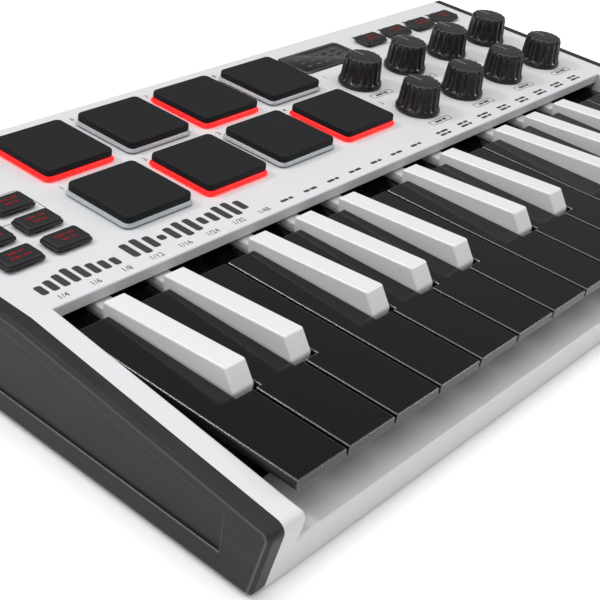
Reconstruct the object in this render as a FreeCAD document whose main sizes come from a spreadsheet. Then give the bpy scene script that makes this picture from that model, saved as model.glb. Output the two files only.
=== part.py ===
import FreeCAD, Part
import os
import re
import Sketcher

# A compact keyboard controller: a white case with an open key well, mini keys on one
# pivot shaft, a grid of pads, knobs, push buttons and a thumb joystick.
# Axes: +X to the player's right, +Y to the rear, +Z up.  The origin is under the
# middle of the unit, on the surface that it stands on.

doc = FreeCAD.newDocument("keyboard_controller")

# ---------------------------------------------------------------- driving dimensions
DIMENSIONS = [
    # overall
    ("unit_width", 318.0, "width over the end cheeks"),
    ("unit_depth", 181.0, "depth, front face to rear wall"),
    ("foot_stand", 1.2, "gap between the case and the table"),
    ("panel_height", 32.8, "top of the control panel"),
    ("rail_slope", "9.6 / 89.1", "rise of the side rails for each millimetre towards the rear"),
    ("rail_height", "panel_height - rail_slope * (unit_depth / 2 + panel_front)",
     "top of the side rails at the front"),
    ("front_lean", 3.8, "how far the front face leans back at its foot"),
    ("cheek_thickness", 5.2, "thickness of an end cheek"),
    ("wall", 2.2, "wall of the case"),
    ("fit_gap", 0.2, "gap between fixed pieces that slip together"),
    ("rail_radius", 3.0, "radius of the side rails' front corners"),
    ("rear_radius", 2.0, "radius of the case's rear edge"),
    ("edge_radius", 0.7, "radius of the key well's edges"),
    ("cheek_border", 4.9, "border round a cheek's recess"),
    ("cheek_recess", 0.8, "depth of a cheek's recess"),
    ("cheek_bevel", 1.1, "bevel round a cheek's outer face"),
    ("recess_front", 14.7, "a cheek's recess behind the front face"),
    ("recess_rear", 9.8, "a cheek's recess before the rear wall"),
    ("recess_foot", 7.35, "a cheek's recess above the case's foot"),
    ("recess_nose", 2.7, "a cheek's recess below the rail at the front"),
    # key well
    ("well_margin", 1.1, "gap between the end keys and the side rails"),
    ("rail_wall", 1.8, "inner wall of a side rail"),
    ("panel_front", -1.4, "front face of the panel's lip"),
    ("lip_drop", 3.7, "depth of the lip below the panel"),
    ("lip_thickness", 1.8, "thickness of the lip"),
    ("shelf_height", 13.6, "top of the shelf in front of the keys"),
    ("shelf_depth", 22.0, "depth of the shelf"),
    # keys
    ("natural_pitch", 19.4, "distance between natural keys"),
    ("key_gap", 1.0, "gap between neighbouring natural keys"),
    ("key_setback", 5.3, "natural keys behind the case's front face"),
    ("natural_front", "-unit_depth / 2 + key_setback", "front face of the natural keys"),
    ("key_drop", 4.5, "natural keys below the panel"),
    ("natural_top", "panel_height - key_drop", "top of the natural keys"),
    ("natural_plate", 3.0, "thickness of a natural key's plate"),
    ("natural_rear", -7.9, "where the raised part of a natural ends"),
    ("tail_drop", 2.6, "step down to a natural key's tail"),
    ("tail_end", 0.8, "where the tail narrows to its arm"),
    ("arm_side", 1.8, "room for a pivot ear on each side of a natural's arm"),
    ("arm_drop", 5.2, "height of the arm below the plate"),
    ("arm_front", -60.0, "front end of a key's arm"),
    ("sharp_front", -53.0, "front foot of the sharp keys"),
    ("sharp_rake", 4.0, "how far a sharp's front leans back"),
    ("sharp_rear", -4.6, "rear end of a sharp's cap"),
    ("sharp_height", 5.8, "a sharp's front edge above the naturals"),
    ("sharp_fall", 3.2, "drop of a sharp's top towards the rear"),
    ("sharp_width", 7.8, "width of a sharp"),
    ("sharp_depth", 2.4, "depth of a sharp's cap below the naturals' top"),
    ("sharp_tail_inset", 0.8, "step in at each side of a sharp's tail"),
    ("sharp_tail_reach", 6.0, "tail behind a sharp's cap"),
    ("sharp_tail_step", 0.4, "step down to a sharp's tail"),
    ("sharp_arm", 5.0, "width of a sharp's arm"),
    ("sharp_arm_setback", 2.0, "a sharp's arm behind its front foot"),
    ("sharp_gap", 0.6, "gap beside a sharp"),
    ("sharp_shift", 2.8, "largest shift of a sharp towards its left neighbour"),
    ("arm_width", "natural_pitch - key_gap / 2 - sharp_shift - sharp_width / 2 - sharp_gap - 2 * arm_side",
     "width of a natural key's arm, set by the naturals with the least room"),
    ("notch_gap", 1.3, "gap in front of a sharp"),
    ("pivot_y", 5.0, "key pivot, from the middle of the unit"),
    ("pivot_drop", 5.8, "key pivot below the naturals' top"),
    ("pivot_height", "natural_top - pivot_drop", "height of the key pivot"),
    ("hub_radius", 3.2, "radius of a key's hub"),
    ("shaft_radius", 1.25, "radius of the pivot shaft"),
    ("shaft_play", 0.05, "running clearance of the keys on the shaft"),
    # key bed
    ("bed_margin", 1.6, "gap between the key bed and the rail walls"),
    ("bed_front", -62.0, "front of the key bed"),
    ("bed_rear", 12.0, "rear of the key bed"),
    ("deck_drop", 17.8, "key bed's deck below the naturals' top"),
    ("deck_height", "natural_top - deck_drop", "top of the key bed's deck"),
    ("deck_thickness", 2.0, "thickness of the deck and its ribs"),
    ("ear_thickness", 1.2, "thickness of a pivot ear"),
    ("stop_y", -55.0, "middle of the key stop"),
    ("stop_width", 6.0, "width of the key stop"),
    ("stop_height", 4.1, "height of the stop rail above the deck"),
    ("felt_thickness", 1.6, "thickness of the stop felt"),
    ("contact_y", -30.0, "middle of the contact strip"),
    ("contact_height", 7.0, "height of a contact dome above the deck"),
    ("contact_board_depth", 12.0, "contact board from front to rear"),
    ("strip_depth", 8.0, "contact strip from front to rear"),
    ("strip_base", 2.0, "thickness of the contact strip's base"),
    ("dome_foot", 3.0, "radius of a contact dome at its foot"),
    ("dome_tip", 2.0, "radius of a contact dome at its tip"),
    ("sink", 0.5, "how far joined blocks run into each other"),
    # pads
    ("pad_size", 27.1, "side of a pad's black top"),
    ("pad_left", -103.4, "left side of the first pad"),
    ("pad_front", 17.1, "front side of the first pad row"),
    ("pad_pitch_x", 34.45, "distance between pads along X"),
    ("pad_pitch_y", 35.1, "distance between pads along Y"),
    ("pad_rise", 4.2, "top of a pad above the panel"),
    ("pad_cap", 2.4, "height of a pad's black cap"),
    ("pad_flare", 0.75, "how far a pad's skirt stands out"),
    ("pad_corner", 2.0, "corner radius of a pad"),
    ("pad_tuck", 0.3, "step in of a pad's skirt under its cap"),
    ("cap_seat", 0.2, "how far a pad's skirt runs into its cap"),
    ("pad_lift", 0.6, "gap under a pad's skirt"),
    ("pad_stem", 24.4, "side of a pad's stem"),
    ("stem_gap", 0.5, "gap round a stem in the panel"),
    # buttons
    ("button_width", 12.4, "cap of a button along X"),
    ("button_depth", 7.8, "cap of a button along Y"),
    ("button_rise", 2.4, "top of a button above the panel"),
    ("button_flare", 0.6, "how far a button's skirt stands out"),
    ("button_skirt", 0.7, "height of a button's skirt"),
    ("button_lift", 0.9, "gap under a button's skirt"),
    ("button_draft", 0.2, "lean of a button's cap on each side"),
    ("button_stem", 6.0, "side of a button's stem"),
    ("left_button_x", -139.2, "first column of the left buttons"),
    ("left_button_y", 21.9, "first row of the left buttons"),
    ("left_button_pitch_x", 17.0, "column pitch of the left buttons"),
    ("left_button_pitch_y", 12.4, "row pitch of the left buttons"),
    ("right_button_x", 85.0, "first of the right buttons"),
    ("right_button_y", 73.0, "row of the right buttons"),
    ("right_button_pitch", 17.6, "pitch of the right buttons"),
    # knobs
    ("knob_x", 45.6, "first knob column"),
    ("knob_y", 20.3, "first knob row"),
    ("knob_pitch_x", 29.15, "column pitch of the knobs"),
    ("knob_pitch_y", 27.6, "row pitch of the knobs"),
    ("knob_rise", 11.7, "top of a knob above the panel"),
    ("knob_lift", 0.5, "gap under a knob"),
    ("knob_foot_radius", 8.4, "radius of a knob at its foot"),
    ("knob_top_radius", 7.3, "radius of a knob at its top"),
    ("knob_foot", 1.6, "height of the straight foot of a knob"),
    ("knob_step", 0.5, "step in above a knob's foot"),
    ("knob_wall", 2.4, "wall of a knob at its foot"),
    ("knob_hollow", 2.0, "hollow of a knob above its foot"),
    ("knob_stem_radius", 3.0, "radius of a knob's shaft"),
    ("shaft_lift", 1.0, "gap under a knob's shaft"),
    ("bush_play", 0.06, "running clearance in an encoder's bush"),
    # joystick
    ("stick_x", -130.0, "joystick centre"),
    ("stick_y", 70.0, "joystick centre"),
    ("stick_drop", 9.6, "joystick's pivots below the panel"),
    ("stick_pivot", "panel_height - stick_drop", "height of the joystick's pivots"),
    ("dome_radius", 12.0, "outer radius of the joystick's dome"),
    ("dome_wall", 1.2, "wall of the dome"),
    ("dome_edge", 3.4, "lower edge of the dome above the pivots"),
    ("neck_radius", 3.2, "radius of the joystick's neck"),
    ("thumb_radius", 7.5, "radius of the thumb cap"),
    ("thumb_height", 3.2, "height of the thumb cap"),
    ("thumb_rise", 10.8, "top of the thumb cap above the panel"),
    ("thumb_top", "panel_height + thumb_rise", "height of the thumb cap"),
    ("dish_radius", 30.0, "radius of the thumb cap's dish"),
    ("dish_depth", 0.7, "depth of the thumb cap's dish"),
    ("waist_wall", 1.2, "wall round the joystick's cross pin"),
    ("waist_drop", 1.6, "joystick's waist below the pivots"),
    ("ring_outer", 7.4, "outer radius of the gimbal ring"),
    ("ring_inner", 5.6, "inner radius of the gimbal ring"),
    ("ring_height", 3.0, "height of the gimbal ring"),
    ("pin_radius", 0.9, "radius of the gimbal pins"),
    ("pin_seat", 0.6, "how far a gimbal pin stops short of the ring's eye"),
    ("pin_play", 0.06, "running clearance of the gimbal pins"),
    ("yoke_gap", 0.5, "gap between ring and yoke"),
    ("yoke_thickness", 2.0, "thickness of a yoke ear"),
    ("yoke_ear", 4.0, "width of a yoke ear"),
    ("yoke_base", 1.6, "thickness of the yoke's base"),
    ("stick_board_width", 28.0, "joystick board along X"),
    ("stick_board_depth", 20.0, "joystick board along Y"),
    ("stick_post_inset", 3.0, "joystick board's posts in from its ends"),
    ("stick_room_side", 4.0, "main board beside the joystick's dome"),
    ("stick_room_front", 3.0, "main board in front of the joystick's dome"),
    # electronics
    ("board_thickness", 1.6, "thickness of the boards"),
    ("board_front", 14.0, "front edge of the main board"),
    ("board_setback", 10.0, "main board before the rear of the case"),
    ("board_rear", "unit_depth / 2 - board_setback", "rear edge of the main board"),
    ("board_side_gap", 4.0, "gap between the boards and the side walls"),
    ("board_post_radius", 2.1, "radius of the posts that hold the boards"),
    ("board_post_front", 3.0, "board posts behind the board's front edge"),
    ("board_post_rear", 4.0, "left board post before the board's rear edge"),
    ("board_post_corner", 14.0, "right board post before the board's rear edge"),
    ("board_post_side", 5.0, "board posts beside the pads and the side wall"),
    ("board_post_wall", 8.0, "front right board post from the side wall"),
    ("board_post_knob", 2.0, "front board post right of the pads' grid"),
    ("encoder_size", 11.5, "side of an encoder"),
    ("encoder_height", 5.4, "height of an encoder"),
    ("encoder_floor", 0.6, "floor of an encoder's bush"),
    ("encoder_gap", 0.8, "gap between an encoder and the panel"),
    ("board_top", "panel_height - wall - encoder_gap - encoder_height", "top of the main board"),
    ("switch_size", 6.0, "side of a switch"),
    ("switch_height", 3.4, "height of a switch"),
    ("window_x", 52.5, "middle of the display window"),
    ("window_y", 72.6, "middle of the display window"),
    ("window_width", 35.0, "width of the display window"),
    ("window_depth", 15.2, "depth of the display window"),
    ("window_sink", 0.3, "window below the panel"),
    # sockets in the rear wall
    ("usb_x", -62.0, "middle of the USB socket"),
    ("usb_width", 12.0, "width of the USB socket's shell"),
    ("usb_height", 10.8, "height of the USB socket's shell"),
    ("usb_port_width", 8.45, "width of the USB port"),
    ("usb_port_height", 7.78, "height of the USB port"),
    ("usb_length", 16.0, "length of the USB socket"),
    ("usb_back", 2.0, "back wall of the USB socket"),
    ("tongue_width", 5.6, "tongue of the USB socket along X"),
    ("tongue_height", 3.2, "thickness of the USB socket's tongue"),
    ("tongue_length", 8.0, "length of the USB socket's tongue"),
    ("jack_x", -92.0, "middle of the pedal jack"),
    ("jack_size", 14.0, "side of the pedal jack's body"),
    ("jack_length", 26.0, "length of the pedal jack"),
    ("jack_bore", 3.25, "radius of the pedal jack's bore"),
    ("jack_depth", 20.0, "depth of the pedal jack's bore"),
    ("jack_nose", 5.4, "radius of the pedal jack's nose"),
    ("lock_x", 128.0, "middle of the security slot"),
    ("lock_width", 7.0, "width of the security slot"),
    ("lock_height", 4.4, "height of the security slot"),
    ("lock_drop", 7.0, "foot of the security slot below the main board's top"),
    # feet and screws
    ("foot_radius", 7.0, "radius of a rubber foot"),
    ("foot_seat", 1.0, "depth of a foot's seat"),
    ("foot_side", 21.0, "feet in from each end of the unit"),
    ("foot_front", 20.5, "front feet behind the front face"),
    ("foot_rear", 18.5, "rear feet before the rear wall"),
    ("post_radius", 2.8, "radius of a screw post"),
    ("post_inset", 0.4, "gap between a screw post and the case wall"),
    ("pilot_radius", 1.1, "pilot hole of a screw post"),
    ("pilot_depth", 6.6, "depth of a screw post's pilot hole"),
    ("screw_hole", 1.5, "clearance hole for a screw"),
    ("screw_head", 2.4, "counterbore for a screw head"),
    ("head_depth", 1.1, "depth of a screw head's counterbore"),
]

NATURALS = 15
PAD_COLUMNS = 4
KNOB_COLUMNS = 4
LEFT_COLUMNS = 2
LEFT_ROWS = 3
RIGHT_BUTTONS = 4
# naturals in an octave that have a sharp on their right, and how far the middle of
# that sharp lies from the line between the two naturals
SHARP_OFFSETS = {0: "-2.3", 1: "0.9", 3: "-sharp_shift", 4: "-0.7", 5: "1.7"}
OCTAVE = 7

sheet = doc.addObject("Spreadsheet::Sheet", "sizes")
for row, (word, value, note) in enumerate(DIMENSIONS, start=1):
    sheet.set(f"A{row}", note)
    sheet.set(f"B{row}", f"={value}" if isinstance(value, str) else str(value))
    sheet.setAlias(f"B{row}", word)
WORDS = {word for word, value, note in DIMENSIONS}


# ------------------------------------------------------------------- document helpers
def cell(formula):
    """Point the sheet's words in a formula at the sheet."""
    if not isinstance(formula, str):
        return str(formula)
    return re.sub(r"[a-z_]+", lambda m: "sizes." + m[0] if m[0] in WORDS else m[0], formula)


def bind(obj, **formulas):
    """Bind an object's properties to formulas of the sheet's words."""
    for prop, formula in formulas.items():
        obj.setExpression(prop, cell(formula))
    return obj


def move(obj, x="0", y="0", z="0"):
    """Bind an object's place."""
    for axis, formula in (("x", x), ("y", y), ("z", z)):
        obj.setExpression("Placement.Base." + axis, cell(formula))
    return obj


def turn(obj, axis, angle):
    obj.Placement = FreeCAD.Placement(FreeCAD.Vector(), FreeCAD.Rotation(FreeCAD.Vector(*axis), angle))
    return obj


def box(name, x, y, z, length, width, height):
    """A block from its low corner."""
    obj = doc.addObject("Part::Box", name)
    return move(bind(obj, Length=length, Width=width, Height=height), x, y, z)


def block(name, x, y, z, length, width, height):
    """A block from the middle of its foot."""
    return box(name, f"({x}) - ({length}) / 2", f"({y}) - ({width}) / 2", z, length, width, height)


def post(name, x, y, z, radius, height):
    """An upright cylinder from the middle of its foot."""
    obj = doc.addObject("Part::Cylinder", name)
    return move(bind(obj, Radius=radius, Height=height), x, y, z)


def bar(name, axis, x, y, z, radius, length):
    """A cylinder lying along X or Y, from the middle of its low end."""
    obj = doc.addObject("Part::Cylinder", name)
    turn(obj, *{"X": ((0, 1, 0), 90), "Y": ((1, 0, 0), -90)}[axis])
    return move(bind(obj, Radius=radius, Height=length), x, y, z)


def frustum(name, x, y, z, low_width, low_depth, top_width, top_depth, height):
    """A block whose sides lean in evenly, from the middle of its foot."""
    obj = doc.addObject("Part::Wedge", name)
    # a wedge tapers along its own Y, so it is stood up to taper along Z
    turn(obj, (1, 0, 0), 90)
    bind(obj, Ymin="0", Ymax=height)
    bind(obj, Xmin=f"-({low_width}) / 2", Xmax=f"({low_width}) / 2")
    bind(obj, Zmin=f"-({low_depth}) / 2", Zmax=f"({low_depth}) / 2")
    bind(obj, X2min=f"-({top_width}) / 2", X2max=f"({top_width}) / 2")
    bind(obj, Z2min=f"-({top_depth}) / 2", Z2max=f"({top_depth}) / 2")
    return move(obj, x, y, z)


def side_profile(name, corners, x, width):
    """A padded body whose outline lies in the YZ plane, as (y, z) formulas."""
    body = doc.addObject("PartDesign::Body", name)
    sketch = body.newObject("Sketcher::SketchObject", name + "_outline")
    plane = next(item for item in body.Origin.OriginFeatures if item.Role == "YZ_Plane")
    sketch.AttachmentSupport = [(plane, "")]
    sketch.MapMode = "FlatFace"
    count = len(corners)
    values = [[sheet_value(formula) for formula in corner] for corner in corners]
    for index in range(count):
        start = FreeCAD.Vector(*values[index], 0)
        end = FreeCAD.Vector(*values[(index + 1) % count], 0)
        sketch.addGeometry(Part.LineSegment(start, end))
    for index in range(count):
        sketch.addConstraint(Sketcher.Constraint("Coincident", index, 2, (index + 1) % count, 1))
    for index, corner in enumerate(corners):
        for kind, formula, value in zip(("DistanceX", "DistanceY"), corner, values[index]):
            number = sketch.addConstraint(Sketcher.Constraint(kind, -1, 1, index, 1, value))
            sketch.setExpression(f"Constraints[{number}]", cell(formula))
    pad = body.newObject("PartDesign::Pad", name + "_pad")
    pad.Profile = sketch
    bind(pad, Length=width)
    move(body, x)
    return body


def sheet_value(formula):
    """The present value of a formula of the sheet's words."""
    words = {word: f"({value})" for word, value, note in DIMENSIONS}
    while re.search("[a-z]", formula):
        formula = re.sub(r"[a-z_]+", lambda m: words[m[0]], formula)
    return FreeCAD.Units.Quantity(formula).Value


def fuse(name, pieces):
    obj = doc.addObject("Part::MultiFuse", name)
    obj.Shapes = pieces
    obj.Refine = True
    return obj


def cut(name, base, tools):
    """Take one tool, or several at once, away from a base."""
    tool = tools[0] if len(tools) == 1 else fuse(name + "_tools", tools)
    obj = doc.addObject("Part::Cut", name)
    obj.Base = base
    obj.Tool = tool
    obj.Refine = True
    return obj


def common(name, base, tool):
    obj = doc.addObject("Part::Common", name)
    obj.Base = base
    obj.Tool = tool
    return obj


def group(name, pieces):
    """Separate solids that are kept as one node."""
    obj = doc.addObject("Part::Compound", name)
    obj.Links = pieces
    return obj


def round_edges(name, base, choose):
    """Fillet the edges for which choose(edge) gives a radius."""
    doc.recompute()
    obj = doc.addObject("Part::Fillet", name)
    obj.Base = base
    edges = []
    for number, edge in enumerate(base.Shape.Edges, start=1):
        radius = choose(edge)
        if radius:
            edges.append((number, radius, radius))
    obj.Edges = edges
    return obj


nodes = []


def node(label, obj):
    """Name a finished sub-part; its label names its file."""
    obj.Label = label
    nodes.append(obj)
    return obj


# ------------------------------------------------------------------ shared positions
CASE_HALF = "(unit_width / 2 - cheek_thickness)"
WELL_HALF = f"(natural_pitch * {NATURALS / 2} + well_margin)"
FRONT = "(-unit_depth / 2)"
REAR = "(unit_depth / 2)"
FLOOR_TOP = "(foot_stand + wall)"
PANEL_UNDER = "(panel_height - wall)"
HOLE_FOOT = f"({PANEL_UNDER} - 1)"
FOOT_LINE = f"({FRONT} + front_lean)"
WELL_LEFT = f"(-natural_pitch * {NATURALS / 2})"
STICK_BOARD = "(stick_pivot - ring_outer - board_thickness)"
OUTLINE = [
    (FOOT_LINE, "foot_stand"),
    (FRONT, "rail_height"),
    ("panel_front", "panel_height"),
    (REAR, "panel_height"),
    (REAR, "foot_stand"),
]

POST_LINE = f"({CASE_HALF} - wall - post_radius - post_inset)"

SCREW_POSTS = [
    # x, y and the top of each screw post
    (f"-{POST_LINE}", f"{REAR} - wall - post_radius - post_inset", PANEL_UNDER),
    ("0", f"{REAR} - wall - post_radius - post_inset", PANEL_UNDER),
    (POST_LINE, f"{REAR} - wall - post_radius - post_inset", PANEL_UNDER),
    (f"-{POST_LINE}", "bed_rear - post_radius", PANEL_UNDER),
    (POST_LINE, "bed_rear - post_radius", PANEL_UNDER),
    ("-natural_pitch * 5", f"{FRONT} + shelf_depth / 2", "shelf_height - wall"),
    ("natural_pitch * 5", f"{FRONT} + shelf_depth / 2", "shelf_height - wall"),
]


def pad_middles():
    """The middle of every pad."""
    for row in range(2):
        for column in range(PAD_COLUMNS):
            x = f"pad_left + pad_size / 2 + {column} * pad_pitch_x"
            yield x, f"pad_front + pad_size / 2 + {row} * pad_pitch_y"


def knob_middles():
    """The middle of every knob."""
    for row in range(2):
        for column in range(KNOB_COLUMNS):
            yield f"knob_x + {column} * knob_pitch_x", f"knob_y + {row} * knob_pitch_y"


def left_button_middles():
    for row in range(LEFT_ROWS):
        for column in range(LEFT_COLUMNS):
            x = f"left_button_x + {column} * left_button_pitch_x"
            yield x, f"left_button_y + {row} * left_button_pitch_y"


def right_button_middles():
    for column in range(RIGHT_BUTTONS):
        yield f"right_button_x + {column} * right_button_pitch", "right_button_y"


def sharp_middles():
    """The middle of every sharp, with the natural on its left."""
    for natural in range(NATURALS - 1):
        offset = SHARP_OFFSETS.get(natural % OCTAVE)
        if offset is not None:
            yield natural, f"({WELL_LEFT} + {natural + 1} * natural_pitch + {offset})"


def rear_span(natural):
    """Left and right sides of a natural between its sharps, and whether each side has one."""
    left = f"{WELL_LEFT} + {natural} * natural_pitch + key_gap / 2"
    right = f"{WELL_LEFT} + {natural + 1} * natural_pitch - key_gap / 2"
    left_sharp = right_sharp = False
    for neighbour, middle in sharp_middles():
        if neighbour == natural - 1:
            left = f"{middle} + sharp_width / 2 + sharp_gap"
            left_sharp = True
        if neighbour == natural:
            right = f"{middle} - sharp_width / 2 - sharp_gap"
            right_sharp = True
    return f"({left})", f"({right})", left_sharp, right_sharp


# -------------------------------------------------------------------------- the case
def make_top_case():
    """White shell: side rails, front wall and shelf, lip, panel and rear wall."""
    outside = side_profile("case_outside", OUTLINE, f"-{CASE_HALF}", f"2 * {CASE_HALF}")
    inside = side_profile("case_inside", [
        (f"{FOOT_LINE} + wall", "foot_stand - 1"),
        (f"{FRONT} + wall", "rail_height - wall"),
        ("panel_front", PANEL_UNDER),
        (f"{REAR} - wall", PANEL_UNDER),
        (f"{REAR} - wall", "foot_stand - 1"),
    ], f"-{CASE_HALF} + wall", f"2 * ({CASE_HALF} - wall)")
    well = box("key_well", f"-{WELL_HALF}", f"{FRONT} - 1", "shelf_height",
               f"2 * {WELL_HALF}", f"panel_front - {FRONT} + 1", "panel_height")
    shell = cut("case_shell", outside, [inside, well])

    walls = [
        box("left_rail_wall", f"-{WELL_HALF} - rail_wall", f"{FRONT} + 1", "shelf_height - wall",
            "rail_wall", f"panel_front - {FRONT}", "panel_height"),
        box("right_rail_wall", WELL_HALF, f"{FRONT} + 1", "shelf_height - wall",
            "rail_wall", f"panel_front - {FRONT}", "panel_height"),
        box("shelf", f"-{CASE_HALF} + wall / 2", f"{FRONT} + wall", "shelf_height - wall",
            f"2 * {CASE_HALF} - wall", "shelf_depth - wall", "wall"),
        box("lip", f"-{WELL_HALF} - rail_wall / 2", "panel_front", "panel_height - lip_drop",
            f"2 * {WELL_HALF} + rail_wall", "lip_thickness", "lip_drop - wall / 2"),
    ]
    posts = [post(f"screw_post_{number}", x, y, FLOOR_TOP, "post_radius", f"{top} - {FLOOR_TOP} + wall / 2")
             for number, (x, y, top) in enumerate(SCREW_POSTS, start=1)]
    board_posts = [post(f"board_post_{number}", x, y, "board_top", "board_post_radius",
                        f"{PANEL_UNDER} - board_top + wall / 2")
                   for number, (x, y) in enumerate(board_post_middles(), start=1)]
    under_skin = side_profile("case_under_skin", [
        (f"{FOOT_LINE} + wall / 2", "foot_stand"),
        (f"{FRONT} + wall / 2", "rail_height - wall / 2"),
        ("panel_front", "panel_height - wall / 2"),
        (f"{REAR} - wall / 2", "panel_height - wall / 2"),
        (f"{REAR} - wall / 2", "foot_stand"),
    ], f"-{CASE_HALF} + wall / 2", f"2 * {CASE_HALF} - wall")
    inner = common("case_inner", under_skin, fuse("case_inner_pieces", walls + posts + board_posts))
    solid = fuse("case_solid", [shell, inner])

    holes = []
    for number, (x, y) in enumerate(pad_middles(), start=1):
        side = "pad_stem + 2 * stem_gap"
        holes.append(block(f"pad_hole_{number}", x, y, HOLE_FOOT, side, side, "panel_height"))
    for number, (x, y) in enumerate(list(left_button_middles()) + list(right_button_middles()), start=1):
        side = "button_stem + 2 * stem_gap"
        holes.append(block(f"button_hole_{number}", x, y, HOLE_FOOT, side, side, "panel_height"))
    for number, (x, y) in enumerate(knob_middles(), start=1):
        holes.append(post(f"knob_hole_{number}", x, y, HOLE_FOOT,
                          "knob_stem_radius + stem_gap", "panel_height"))
    holes.append(post("stick_hole", "stick_x", "stick_y", HOLE_FOOT,
                      "dome_radius - wall + stem_gap", "panel_height"))
    holes.append(block("window_hole", "window_x", "window_y", HOLE_FOOT,
                       "window_width + fit_gap", "window_depth + fit_gap", "panel_height"))
    for number, (x, y, top) in enumerate(SCREW_POSTS, start=1):
        holes.append(post(f"screw_pilot_{number}", x, y, f"{FLOOR_TOP} - 1", "pilot_radius",
                          "pilot_depth + 1"))
    socket_z = "board_top - board_thickness - usb_height"
    holes.append(block("usb_cutout", "usb_x", f"{REAR} - wall", f"{socket_z} - fit_gap",
                       "usb_width + 2 * fit_gap", "4 * wall", "usb_height + 2 * fit_gap"))
    holes.append(bar("jack_cutout", "Y", "jack_x", f"{REAR} - 2 * wall",
                     "board_top - board_thickness - jack_size / 2",
                     "jack_nose + fit_gap", "4 * wall"))
    holes.append(block("lock_slot", "lock_x", f"{REAR} - wall", "board_top - lock_drop",
                       "lock_width", "4 * wall", "lock_height"))
    pierced = cut("case_pierced", solid, holes)
    rounded = round_edges("case_rounded", pierced, case_radius)
    return round_edges("top_case_shape", rounded, lip_radius)


def board_post_middles():
    """Posts that hold the main board under the panel."""
    front = "board_front + board_post_front"
    grid_end = f"pad_left + {PAD_COLUMNS} * pad_pitch_x"
    yield "pad_left - board_post_side", front
    yield f"{grid_end} + board_post_knob", front
    yield f"{CASE_HALF} - wall - board_post_wall", front
    yield "pad_left - board_post_side", "board_rear - board_post_rear"
    yield f"{grid_end} - 2 * board_post_radius", "board_rear - board_post_radius"
    yield f"{CASE_HALF} - wall - board_post_side", "board_rear - board_post_corner"


def edge_runs(edge, low, high):
    """Whether a straight edge's box reaches from one corner to another."""
    bounds = edge.BoundBox
    found = (bounds.XMin, bounds.YMin, bounds.ZMin, bounds.XMax, bounds.YMax, bounds.ZMax)
    wanted = [sheet_value(formula) for formula in low + high]
    return all(abs(one - other) < 0.01 for one, other in zip(found, wanted))


def case_radius(edge):
    """Radii of the case's outer edges, but for the lip."""
    rail_outer, rail_inner = CASE_HALF, WELL_HALF
    lean = "front_lean * (shelf_height - foot_stand) / (rail_height - foot_stand)"
    shelf_line = f"{FOOT_LINE} - {lean}"
    for left, right in ((f"-{rail_outer}", f"-{rail_inner}"), (rail_inner, rail_outer)):
        if edge_runs(edge, (left, FRONT, "rail_height"), (right, FRONT, "rail_height")):
            return sheet_value("rail_radius")
    for side in (f"-{rail_inner}", rail_inner):
        if edge_runs(edge, (side, FRONT, "rail_height"), (side, "panel_front", "panel_height")):
            return sheet_value("edge_radius")
    if edge_runs(edge, (f"-{rail_inner}", shelf_line, "shelf_height"),
                 (rail_inner, shelf_line, "shelf_height")):
        return sheet_value("edge_radius")
    if edge_runs(edge, (f"-{rail_outer}", REAR, "panel_height"), (rail_outer, REAR, "panel_height")):
        return sheet_value("rear_radius")
    return 0


def lip_radius(edge):
    """Radius along the panel's front edge."""
    bounds = edge.BoundBox
    long_one = bounds.XLength > sheet_value(WELL_HALF)
    on_front = abs(bounds.YMax - sheet_value("panel_front")) < 0.01
    on_top = abs(bounds.ZMax - sheet_value("panel_height")) < 0.01
    return sheet_value("edge_radius") if long_one and on_front and on_top else 0


def make_bottom_case():
    """Floor plate with a stiffening rim, foot seats and screw holes."""
    half = f"({CASE_HALF} - wall - fit_gap)"
    front = f"({FOOT_LINE} + wall + fit_gap)"
    rear = f"({REAR} - wall - fit_gap)"
    floor = box("floor", f"-{half}", front, "foot_stand", f"2 * {half}", f"{rear} - {front}", "wall")
    rim_outside = box("rim_outside", f"-{half}", front, "foot_stand + wall / 2", f"2 * {half}",
                      f"{rear} - {front}", "2 * wall")
    rim_inside = box("rim_inside", f"-{half} + wall / 2", f"{front} + wall / 2", "foot_stand",
                     f"2 * {half} - wall", f"{rear} - {front} - wall", "4 * wall")
    rim = cut("rim", rim_outside, [rim_inside])
    stick_posts = [post(f"stick_post_{side}",
                        f"stick_x + {side} * (stick_board_width / 2 - stick_post_inset)", "stick_y",
                        "foot_stand + wall / 2", "board_post_radius",
                        f"{STICK_BOARD} - foot_stand - wall / 2") for side in (-1, 1)]
    tools = []
    for number, (x, y, top) in enumerate(SCREW_POSTS, start=1):
        tools.append(post(f"screw_clearance_{number}", x, y, "foot_stand - 1", "screw_hole", "2 * wall"))
        tools.append(post(f"screw_counterbore_{number}", x, y, "foot_stand - 1", "screw_head",
                          "head_depth + 1"))
        tools.append(post(f"post_room_{number}", x, y, FLOOR_TOP, "post_radius + fit_gap", "2 * wall"))
    for number, (x, y) in enumerate(foot_middles(), start=1):
        tools.append(post(f"foot_seat_{number}", x, y, "foot_stand - 1", "foot_radius + fit_gap",
                          "foot_seat + 1"))
    plate = fuse("plate", [floor, rim] + stick_posts)
    return cut("bottom_case_shape", plate, tools)


def foot_middles():
    """The middle of every rubber foot."""
    for side in (-1, 1):
        for line in (f"{FRONT} + foot_front", f"{REAR} - foot_rear"):
            yield f"{side} * (unit_width / 2 - foot_side)", line


def make_feet():
    """Rubber feet seated in the floor plate."""
    return group("feet_shape", [post(f"foot_{number}", x, y, "0", "foot_radius", "foot_stand + foot_seat")
                                for number, (x, y) in enumerate(foot_middles(), start=1)])


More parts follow.
